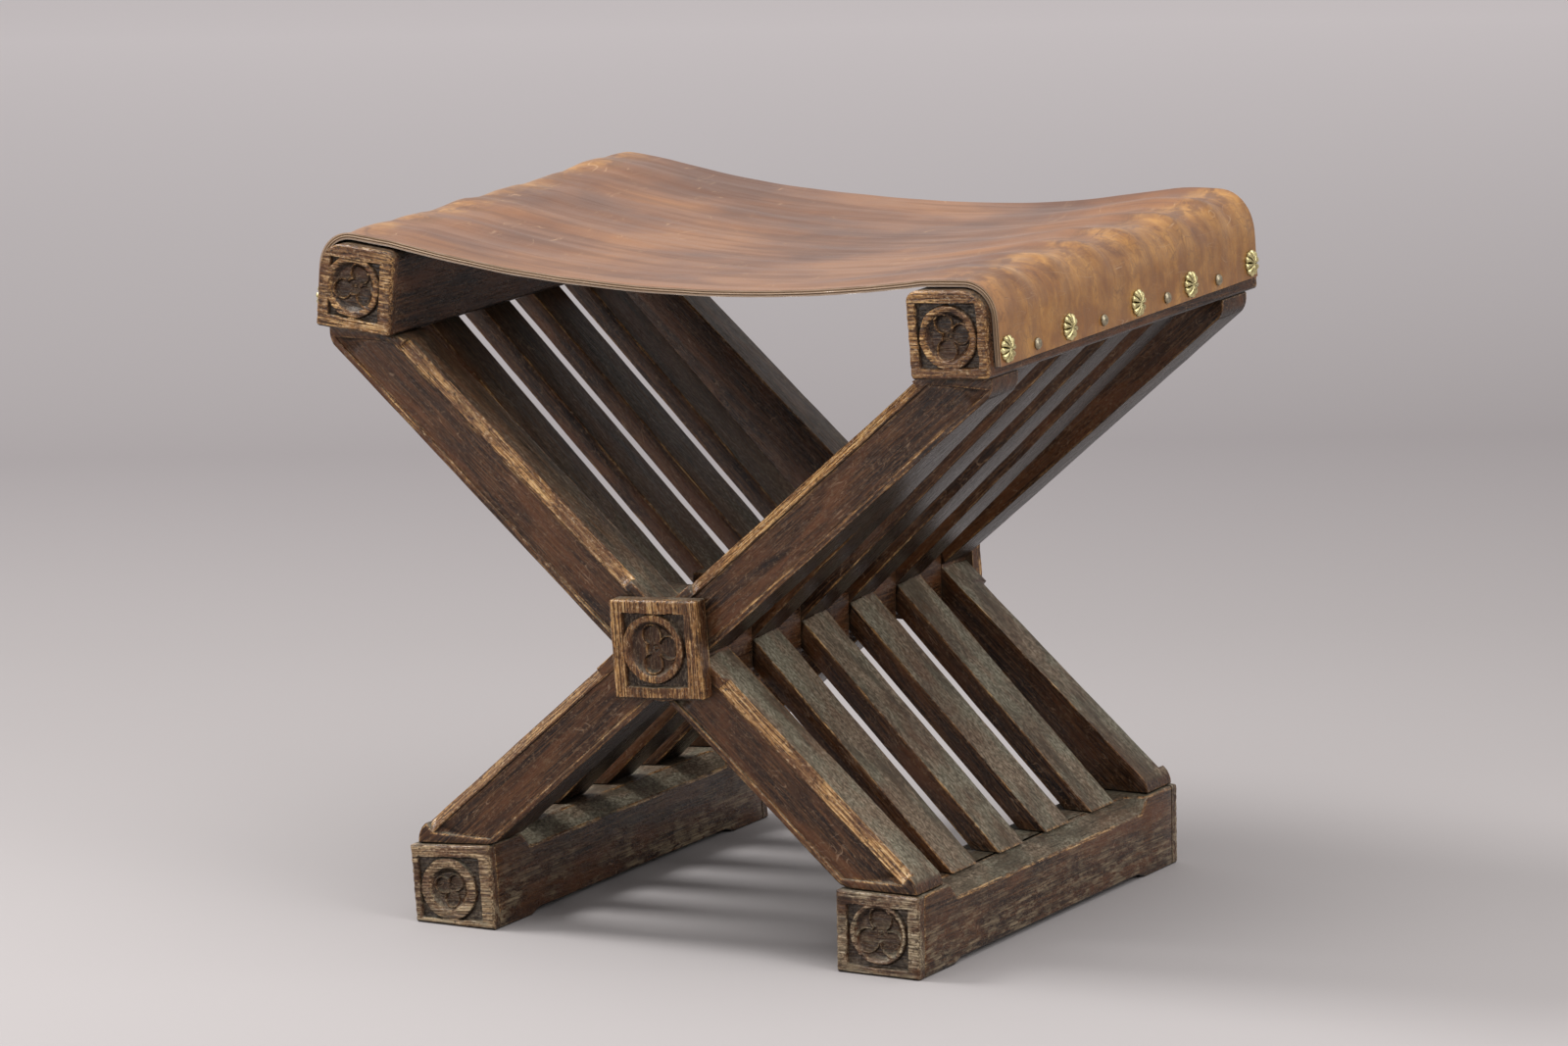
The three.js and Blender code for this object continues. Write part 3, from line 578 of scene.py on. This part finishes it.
CARVINGS = {
    "seat_rail_left": carving((8.5, 9.5, 9.5, 8.5), (-2.2, 1.0), (17.6, 21.4),
                              [(4.7, 9.6, 7.2), (-8.4, -2.5, 6.6), (9.4, -5.2, 7.2)], 5.5),
    "seat_rail_right": carving((6.8, 6.8, 8.5, 7), (0.2, -1.6), (17.2, 21.2),
                               [(9, 2.2, 6.8), (-3.5, 8.8, 6.4), (-2, -8.6, 7.2)], 5.0),
    "foot_rail_left": carving((5, 9, 8.4, 4.5), (-3.4, -2.6), (15.3, 21.8),
                              [(4.8, 4.2, 5.6), (-6, 2.2, 5.6), (1, -7, 5.6)], 4.5),
    "foot_rail_right": carving((7.5, 8.5, 9, 5.5), (0, 0.4), (18.8, 21.0),
                               [(1, 10.2, 8.2), (-8.6, -5, 8.2), (9.2, -6.2, 8.4)], 6.0),
    "boss": carving((9.5, 10, 9.2, 8.2), (-2.2, 0.4), (19.0, 23.4),
                    [(-1.3, 9.2, 7.0), (11.6, 0.8, 8.0), (-1.3, -9.8, 7.0)], 6.0),
}
AGED = {"seat_rail_left": 0.05, "seat_rail_right": 0.0, "foot_rail_left": 0.6, "foot_rail_right": 0.95}

# %% Carve the rails and feet
def add_block(bm, block):
    """Adds the block to the rail's bmesh, with its layers."""
    spare = bpy.data.meshes.new("spare")
    block.to_mesh(spare)
    bm.from_mesh(spare)
    block.free()
    bpy.data.meshes.remove(spare)

for count, (node, lean) in enumerate(LEANS.items()):
    seat = node.startswith("seat")
    rail = SEAT if seat else FOOT
    side = -1 if node.endswith("left") else 1
    bm = welded(node)
    for end in (-1, 1):
        slice_at(bm, (0, end * (rail["reach"] - END) * MM, 0), (0, end, 0), clear=True)
    bmesh.ops.holes_fill(bm, edges=[e for e in bm.edges if e.is_boundary])
    if not seat:
        soften(bm, 1.4 * MM)
    cross_loops(bm, Y, LOOP_PITCH)
    bm.verts.layers.float_vector.new("relief")
    lay_grain(bm, (Y, X, Z), count)
    outer, inner, low = rail["corners"]
    corner = np.array([[low, outer], [low, inner]] if side < 0 else [[low, inner], [low, outer]])
    for end in (-1, 1):
        block = carved_block(rail["half"], corner if end < 0 else corner[::-1], END, CARVINGS[node],
                             (0.05, 0.7), count * 7 + end, AGED[node])
        lay_grain(block, (X, Y, Z), count + end * 0.3, MM)
        set_block(block, lean, (side * rail["x"], end * rail["reach"], rail["z"]), end < 0, not seat)
        add_block(bm, block)
    print(node, "leans:", lean, "faces:", len(bm.faces))
    finished(bm, node + "_carved", node, oak_dark)

# %% Carve the bosses
BOSS_HALF, BOSS_THICK, BOSS_LEAN, BOSS_X, BOSS_Z = (33.5, 33.5), 13.7, 3.8, 4.4, 208.4
for count, node in enumerate(("boss_front", "boss_rear")):
    front = node == "boss_front"
    bm = carved_block(BOSS_HALF, np.full((2, 2), 1.2), BOSS_THICK, CARVINGS["boss"], (0.6, 0.05),
                      40 + count, 0.0, steps=128)
    lay_grain(bm, (Z, X, Y), 30 + count, MM)
    low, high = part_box(node)
    set_block(bm, BOSS_LEAN, (BOSS_X, (low.y if front else high.y) / MM, BOSS_Z), front)
    finished(bm, node + "_carved", node, oak_dark)

# %% [markdown]
# ## The leather sling
# The sling is thick leather, cut as a rectangle. It runs up the outside of the left rail, over its
# round, hangs to the right rail and ends under the nails there. Two rails hold it and nothing
# pads it, so its line is known: straight, round, hanging. A grid laid along that line keeps the
# hide's own length, and lifting the grid makes the folds that run in from the rails.

# %% The line of the hide over a rail, in mm
THICK, CLEAR = 4.6, 0.3
HALF_LENGTH = 188.0
FLAP = {"front": -22.0, "rear": -19.5}
SAG = {"front": 17.5, "middle": 21.0, "rear": 13.5}
OUTSIDE = SEAT["half"][0] + CLEAR
SEAT_AT = {-1: (LEANS["seat_rail_left"], -SEAT["x"], SEAT["z"]),
           1: (LEANS["seat_rail_right"], SEAT["x"], SEAT["z"])}

def turned(points, lean):
    a = math.radians(lean)
    return points @ np.array([[math.cos(a), math.sin(a)], [-math.sin(a), math.cos(a)]])

def flap_edge(y):
    return FLAP["front"] + (FLAP["rear"] - FLAP["front"]) * (y / HALF_LENGTH + 1) / 2

def rail_line(side, y):
    """From the flap's edge over the rail to its inner side, in x and z."""
    outer, inner, _ = SEAT["corners"]
    w, h, r = OUTSIDE, SEAT["half"][1] + CLEAR, outer + CLEAR
    arc = np.linspace(0, math.pi / 2, 24)
    outside = np.column_stack((np.full(16, w), np.linspace(flap_edge(y), h - r, 16, endpoint=False)))
    over = np.column_stack((w - r + r * np.cos(arc), h - r + r * np.sin(arc)))
    across = np.column_stack((np.linspace(w - r, inner - SEAT["half"][0], 16)[1:], np.full(15, h)))
    line = np.vstack((outside, over, across)) * (side, 1)
    lean, x, z = SEAT_AT[side]
    return turned(line, lean) + (x, z)

def even(line, count):
    """The same line with its points the same distance apart, a little smoothed."""
    run = np.concatenate(([0], np.cumsum(np.hypot(*np.diff(line, axis=0).T))))
    spread = np.linspace(0, run[-1], 600)
    fine = np.column_stack([np.interp(spread, run, line[:, k]) for k in (0, 1)])
    for _ in range(10):
        fine[1:-1] = (fine[:-2] + 2 * fine[1:-1] + fine[2:]) / 4
    run = np.concatenate(([0], np.cumsum(np.hypot(*np.diff(fine, axis=0).T))))
    places = np.linspace(0, run[-1], count)
    return np.column_stack([np.interp(places, run, fine[:, k]) for k in (0, 1)]), places

def section(y, count):
    """The whole line across the stool, with the distance along it at each point."""
    left, other = rail_line(-1, y), rail_line(1, y)[::-1]
    (xl, zl), (xr, zr) = left[-1], other[0]
    t = y / HALF_LENGTH
    sag = SAG["middle"] + (SAG["front" if t < 0 else "rear"] - SAG["middle"]) * t * t
    s = np.linspace(0, 1, 120)[1:-1]
    hang = np.column_stack((xl + (xr - xl) * s, zl + (zr - zl) * s - 4 * sag * s * (1 - s)))
    return even(np.vstack((left, hang, other)), count)

# %% Folds and dimples
FOLD_PITCH = 58
SHARES = {"rosette": (-0.95, -0.485, 0.043, 0.46, 0.952), "dome": (-0.73, -0.225, 0.27, 0.68)}
ABOVE_EDGE = {"rosette": 10.4, "dome": 7.0}
DIMPLE = {"rosette": 13, "dome": 7}
NAILS = [(kind, share * HALF_LENGTH, flap_edge(share * HALF_LENGTH) + ABOVE_EDGE[kind])
         for kind, shares in SHARES.items() for share in shares]

def near(x, centre, width):
    """1 at the centre, fading out over the width."""
    return np.exp(-((x - centre) / width) ** 2)

def waves(place):
    return (1 + np.cos((place / FOLD_PITCH + 0.6) * 2 * math.pi)) / 2

def fold_height(x, y, upward):
    """How far the hide is lifted, in mm: folds at the rails, crests at the rear corners."""
    wave = waves(y + 5 * np.sin(x / 70) + 4 * np.sin(y / 37 + x / 110))
    plain = 1.6 * waves(y) * near(x, 226.3, 85)
    right_side = 4.8 * wave ** 2.2 * near(x, 205, 90) * (0.8 + 0.2 * np.clip(y / 120, -1, 1))
    left_side = 1.3 * wave * near(x, -226, 110)
    crests = 3.5 * near(x, -226.3, 60) * near(y, 150, 60) + 3.2 * near(x, 215, 50) * near(y, 175, 45)
    return (np.maximum(plain, right_side + left_side) + crests) * upward

def grain_lift(along, y):
    """Slow ripples and small creases in the hide itself."""
    ripple = rough(along, y, (0.006, 0.045), 3.0) * 0.9 + rough(along, y, (0.03, 0.09), 8.0) * 0.35
    return ripple + 0.9

def dimpled(lift, line, y):
    """A nail pulls the hide down to the rail around its head."""
    for kind, nail_y, nail_z in NAILS:
        for side, (lean, x, z) in SEAT_AT.items():
            spot = turned(np.array([[side * OUTSIDE, nail_z]]), lean)[0] + (x, z)
            far = np.hypot(np.hypot(*(line - spot).T), y - nail_y)
            lift = lift * (1 - 0.9 * near(far, 0, DIMPLE[kind]))
    return lift

# %% Lay the hide
ACROSS, ALONG = 220, 132
bm = bmesh.new()
cut = bm.verts.layers.float_vector.new("cut")
bmesh.ops.create_grid(bm, x_segments=ACROSS, y_segments=ALONG, size=1)
rows = {}
for v in bm.verts:
    rows.setdefault(round(v.co.y, 5), []).append(v)
for level_y in sorted(rows):
    row = sorted(rows[level_y], key=lambda v: v.co.x)
    y = level_y * HALF_LENGTH
    line, run = section(y, len(row))
    way = np.gradient(line, axis=0)
    normal = np.column_stack((-way[:, 1], way[:, 0])) / np.hypot(*way.T)[:, None]
    upward = np.clip(normal[:, 1], 0, 1) ** 2
    ys = np.full(len(row), y)
    lift = fold_height(line[:, 0], ys, upward) + grain_lift(run, ys) * (0.35 + 0.65 * upward)
    place = line + normal * (THICK + dimpled(lift, line, y))[:, None]
    for v, (x, z), u in zip(row, place, run):
        v.co = (x * MM, y * MM, z * MM)
        v[cut] = (u * MM, y * MM, 0)
hide_width = float(run[-1]) * MM
bmesh.ops.recalc_face_normals(bm, faces=bm.faces)
if sum(f.normal.z for f in bm.faces) < 0:
    bmesh.ops.reverse_faces(bm, faces=bm.faces)
upper = set(bm.verts)
bmesh.ops.solidify(bm, geom=bm.faces[:], thickness=(THICK - 0.1) * MM)
lower = [v for v in bm.verts if v not in upper]
print("hide:", round(hide_width, 4), "x", 2 * HALF_LENGTH * MM,
      "under side at", round(min(v.co.z for v in lower), 4))

# %% [markdown]
# ## Plies at the rim
# The cut edge shows two grooves, at a third and at two thirds of its depth, painted dark as shade.
# The wall of the rim is cut into nine steps from the upper to the lower face, and each row between
# them is drawn in by its own amount, in mm. The third part of the layer says how deep each row
# lies, so the finish can colour the plies.

# %% Draw the rim in
RIM_STEPS = 9
RIM_INSET = (0.0, 0.1, 1.1, 0.15, 0.1, 1.1, 0.2, 0.3)
for v in lower:
    v[cut].z = 1
sides = [e for e in bm.edges if (e.verts[0] in upper) != (e.verts[1] in upper)]
bmesh.ops.subdivide_edges(bm, edges=sides, cuts=RIM_STEPS - 1, use_grid_fill=True)
bm.normal_update()
rim = [(v, round(v[cut].z * RIM_STEPS)) for v in bm.verts if 0 < v[cut].z < 1]
for v, step in rim:
    uneven = 0.25 * noise.noise(v.co * 90)
    v.co -= v.normal * (RIM_INSET[step - 1] + uneven) * MM

# %% [markdown]
# ## A hide's finish
# Old cowhide is tan where it is stretched over the rails and browner where it was sat on. Its
# surface has a soft gloss, long streaks from the folds, fine pale scratches and hair pores.
# The patterns read the place in the flat hide, so they bend with it.

# %% Patterns in the flat hide
def from_end(*distances):
    """Distances from the middle line for points that lie so far in from the nailed edges."""
    return [hide_width / 2 - distance for distance in distances]

def hide_maps(f):
    flat = f.attribute("cut")
    place = f.split(flat)
    maps = SimpleNamespace(flat=flat, along=place["Y"], ply=place["Z"])
    maps.from_middle = f.off(place["X"], hide_width / 2)
    maps.worn_in = f.noise(flat, (7, 9, 0), 4, 0.55, 0.3)
    maps.streak = f.noise(flat, (5, 75, 0), 5, 0.6, 0.5)
    maps.blotch = f.noise(flat, (32, 36, 0), 5, 0.62)
    maps.reach = f.plus(maps.from_middle, f.times(f.minus(maps.blotch, 0.5), 0.06))
    maps.at_round = f.between(f.off(maps.reach, *from_end(0.058)), 0.030, 0.008)
    maps.on_flap = f.between(maps.from_middle, *from_end(0.055, 0.040))
    runs = [(turn, (scale, scale * 0.16, 0)) for turn, scale in ((0.6, 30), (2.3, 38), (1.4, 24))]
    maps.scratch = f.scratches(flat, runs, 1.2, (0.0028, 0.0006), (40, 40, 0), 2, (0.5, 0.62))
    crease = f.between(f.off(f.noise(flat, (75, 18, 0), 3, 0.55, 1.0), 0.5), 0.014, 0.002)
    crease = f.times(crease, f.between(maps.worn_in, 0.42, 0.55))
    maps.crease = f.times(crease, maps.at_round)
    return maps

# %% Colours of the hide
def seat_and_tan(f, maps):
    """Brown where it was sat on, tan over the rails, and an orange tint at the front edge."""
    seat = f.ramp(maps.worn_in, (0.38, (0.116, 0.043, 0.017)), (0.5, (0.180, 0.070, 0.026)),
                  (0.62, (0.256, 0.106, 0.037)))
    seat = f.blend(f.between(maps.streak, 0.48, 0.62, (0, 0.4)), seat, (0.088, 0.038, 0.020))
    tan = f.ramp(maps.blotch, (0.4, (0.245, 0.096, 0.018)), (0.5, (0.335, 0.147, 0.030)),
                 (0.6, (0.42, 0.201, 0.048)))
    tan = f.blend(f.between(maps.streak, 0.45, 0.7, (0, 0.35)), tan, (0.17, 0.074, 0.03))
    colour = f.blend(f.between(maps.reach, *from_end(0.085, 0.045)), seat, tan)
    front = f.between(f.plus(maps.along, f.times(maps.streak, 0.06)), -0.118, -0.155, (0, 0.6))
    return f.blend(front, colour, (0.285, 0.118, 0.038))

def handled(f, maps, colour):
    """Smudges and creases over the round, mottle, steps and crackle on the flap, pale scratches."""
    smudge = f.between(f.noise(maps.flat, (48, 30, 0), 5, 0.66, 0.6), 0.48, 0.58, (0, 0.8))
    colour = f.blend(f.times(smudge, maps.at_round), colour, (0.130, 0.048, 0.014))
    mottle = f.between(f.noise(maps.flat, (85, 95, 0), 4, 0.6, 0.8), 0.50, 0.60, (0, 0.45))
    past_round = f.between(maps.from_middle, *from_end(0.07, 0.05))
    colour = f.blend(f.times(mottle, past_round), colour, (0.20, 0.084, 0.025))
    colour = f.blend(f.times(maps.crease, 0.55), colour, (0.120, 0.046, 0.015))
    step = f.between(f.noise(maps.flat, (4, 62, 0), 3, 0.5, 0.4), 0.47, 0.53, (0, 0.35))
    colour = f.blend(f.times(step, maps.on_flap), colour, (0.215, 0.094, 0.033))
    cells = {"Vector": f.stretched(maps.flat, (120, 190, 0)), "Scale": 1}
    cell = f.add("TexVoronoi", cells, feature="DISTANCE_TO_EDGE").outputs["Distance"]
    crackle = f.times(f.between(cell, 0.06, 0.01), f.between(maps.blotch, 0.5, 0.58))
    colour = f.blend(f.times(f.times(crackle, maps.on_flap), 0.5), colour, (0.15, 0.064, 0.022))
    return f.blend(f.times(maps.scratch, 0.4), colour, (0.52, 0.34, 0.20))

def cut_edges(f, maps, colour):
    """The pale cut plies with dark lines of painted shade in the grooves between them, and the raw
    underside.
    """
    height = f.plus(maps.ply, f.times(f.minus(maps.blotch, 0.5), 0.1))
    # The two near-black stops, in the grooves between the plies, are painted shade.
    plies = f.ramp(height, (0.02, (0.19, 0.095, 0.05)), (0.10, (0.47, 0.33, 0.215)),
                   (0.29, (0.38, 0.25, 0.15)), (0.335, (0.03, 0.018, 0.012)),
                   (0.39, (0.45, 0.31, 0.195)), (0.61, (0.33, 0.215, 0.13)),
                   (0.665, (0.025, 0.015, 0.010)), (0.72, (0.36, 0.24, 0.15)),
                   (0.95, (0.18, 0.115, 0.07)))
    colour = f.blend(f.between(maps.ply, 0.005, 0.03), colour, plies)
    return f.blend(f.between(maps.ply, 0.985, 0.995), colour, (0.075, 0.052, 0.036))

# %% Put the leather together
def hide_finish():
    f = Finish("hide")
    maps = hide_maps(f)
    colour = cut_edges(f, maps, handled(f, maps, seat_and_tan(f, maps)))
    hairs = {"Vector": f.stretched(maps.flat, (900, 900, 0)), "Scale": 1}
    pores = f.add("TexVoronoi", hairs).outputs["Distance"]
    folds = f.noise(maps.flat, (60, 210, 0), 5, 0.65, 0.8)
    skin = f.plus(f.times(pores, 0.25), f.times(folds, 0.75))
    skin = f.minus(skin, f.times(f.plus(maps.scratch, maps.crease), 0.4))
    roughness = f.between(f.plus(maps.streak, f.times(maps.scratch, 0.3)), 0.42, 0.60, (0.32, 0.52))
    f.set(Base_Color=colour, Roughness=roughness, Normal=f.bump(skin, 0.0006, 0.45))
    f.set(Specular_IOR_Level=0.52, Coat_Weight=0.5, Coat_Roughness=0.34)
    return f.material

# %% The sling lies between the two frames
sling = to_object(bm, "sling_hide", hide_finish(), 55)
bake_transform(sling)
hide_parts("sling_leather")
print("sling faces:", len(sling.data.polygons))

# %% [markdown]
# ## Brass nails
# Two kinds of nail hold each flap: cast flowers with ten petals and small plain domes. Both are a
# profile spun round the shank. The petals come from pulling the dome in along ten furrows.

# %% Brass
def brass_finish(name, bright, dull, roughness):
    f = Finish(name)
    place = f.add("TexCoord").outputs["Object"]
    tarnish = f.noise(place, (500, 500, 500), 4, 0.6)
    metal = f.ramp(tarnish, (0.35, dull), (0.6, bright))
    colour = f.blend(f.between(f.occlusion(0.003), 0.35, 0.85), (0.045, 0.03, 0.014), metal)
    uneven = f.between(tarnish, 0.3, 0.7, (roughness, roughness + 0.2))
    f.set(Base_Color=colour, Roughness=uneven, Metallic=0.9)
    return f.material

flower_brass = brass_finish("flower_brass", (0.82, 0.72, 0.38), (0.46, 0.38, 0.17), 0.22)
dome_brass = brass_finish("dome_brass", (0.46, 0.40, 0.28), (0.26, 0.22, 0.15), 0.30)
rod_iron = brass_finish("rod_iron", (0.16, 0.15, 0.14), (0.07, 0.055, 0.045), 0.45)

# %% Spin the heads
def nail_head(radius, edge, crown, petals):
    """A head on the plane z = 0, in mm, with furrows between its petals if it has any."""
    bm = bmesh.new()
    angles = [k * math.pi / 20 for k in range(11)]
    arc = [(radius * math.cos(a), edge + (crown - edge) * math.sin(a)) for a in angles]
    chain = [bm.verts.new((max(r, 0), 0, h)) for r, h in [(0, 0), (radius, 0)] + arc]
    edges = [bm.edges.new(pair) for pair in zip(chain, chain[1:])]
    around = petals * 8 if petals else 24
    bmesh.ops.spin(bm, geom=chain + edges, cent=(0, 0, 0), axis=(0, 0, 1), dvec=(0, 0, 0),
                   angle=2 * math.pi, steps=around, use_merge=True, use_duplicate=False)
    bmesh.ops.remove_doubles(bm, verts=bm.verts, dist=0.001)
    bmesh.ops.recalc_face_normals(bm, faces=bm.faces)
    for v in bm.verts if petals else ():
        r = math.hypot(v.co.x, v.co.y)
        furrow = (1 - abs(math.cos(math.atan2(v.co.y, v.co.x) * petals / 2))) ** 1.4
        furrow *= min(r / radius * 1.8, 1)
        v.co.x *= 1 - 0.14 * furrow
        v.co.y *= 1 - 0.14 * furrow
        v.co.z *= 1 - 0.62 * furrow
        v.co.z *= 1 - 0.4 * math.exp(-((r / radius / 0.17) ** 2))
    return bm

# %% Set the nails in their rows
HEADS = {"rosette": (9.1, 1.2, 3.6, 10), "dome": (3.9, 0.5, 2.9, 0)}
BRASS = {"rosette": flower_brass, "dome": dome_brass}
LEATHER_FACE = OUTSIDE + CLEAR + THICK
for side, key in ((-1, "left"), (1, "right")):
    lean, x, z = SEAT_AT[side]
    count = {"rosette": 0, "dome": 0}
    for kind, nail_y, nail_z in NAILS:
        count[kind] += 1
        node = f"{kind}_{key}_{count[kind]}"
        bm = nail_head(*HEADS[kind])
        turn(bm, 0.35 * count[kind], "Z")
        turn(bm, side * math.pi / 2, "Y")
        bmesh.ops.translate(bm, verts=bm.verts, vec=(side * LEATHER_FACE, 0, nail_z))
        turn(bm, -math.radians(lean), "Y")
        move_in_mm(bm, (x, nail_y, z))
        finished(bm, node + "_head", node, BRASS[kind], sharp=50)
print("nails on each side:", len(NAILS))

# %% [markdown]
# ## The stage
# A sheet of paper lies under the stool, wider than the camera's distance, so that no wall comes
# between them from any side. Its colour is painted with the distance behind the stool, as painted
# shade and light for the falloff on a paper sweep: grey in front, darker behind, and pale far away.

# %% Floor
FLOOR_REACH, TONE_START, TONE_LENGTH = 14.0, -2, 8

def paper():
    f = Finish("paper")
    # The ramp is painted shade and light, in place of the falloff over a paper sweep.
    painted_falloff = f.ramp(f.attribute("far", "Fac"), (0.22, (0.385, 0.359, 0.355)),
                  (0.36, (0.315, 0.292, 0.290)), (0.46, (0.300, 0.276, 0.279)),
                  (0.62, (0.545, 0.512, 0.517)), (0.80, (0.840, 0.794, 0.801)))
    f.set(Base_Color=painted_falloff, Roughness=0.95)
    return f.material

bm = bmesh.new()
bmesh.ops.create_grid(bm, x_segments=2, y_segments=112, size=FLOOR_REACH)
far = bm.verts.layers.float.new("far")
for v in bm.verts:
    v[far] = (v.co.y - TONE_START) / TONE_LENGTH
turn(bm, AZIMUTH, "Z")
floor = to_object(bm, "floor", paper(), 40)

# %% [markdown]
# ## The light
# Four soft boxes look at the middle of the stool: a small key from the left, a wide one overhead,
# a window on the right and a fill in front. A pale world lightens what they leave in the shade.

# %% Lights
MIDDLE = Vector((0, 0, 0.22))

def softbox(name, place, width, power):
    lamp = bpy.data.lights.new(name, "AREA")
    lamp.shape, lamp.size, lamp.energy = "SQUARE", width, power
    box = bpy.data.objects.new(name, lamp)
    box.location = place
    box.rotation_euler = (MIDDLE - Vector(place)).to_track_quat("-Z", "Y").to_euler()
    scene.collection.objects.link(box)

softbox("key", (-1.7, -0.5, 2.4), 0.85, 58)
softbox("overhead", (0.2, -0.3, 2.6), 2.6, 43)
softbox("window", (2.9, -0.6, 2.0), 1.6, 36)
softbox("fill", (-1.7, -3.2, 1.1), 1.8, 26)
world = bpy.data.worlds.new("grey")
world.use_nodes = True
background = world.node_tree.nodes["Background"].inputs
background["Color"].default_value = (0.93, 0.9, 0.9, 1)
background["Strength"].default_value = 0.57
scene.world = world

# %% [markdown]
# ## What the solids still show
# Every solid but the rod now has a dressed piece in its place. The rod is hidden between the
# bosses and keeps its solid, so it only needs iron.

# %% Finish
for node in frame["nodes"].values():
    if not node.hide_render:
        node.data.materials.clear()
        node.data.materials.append(rod_iron)
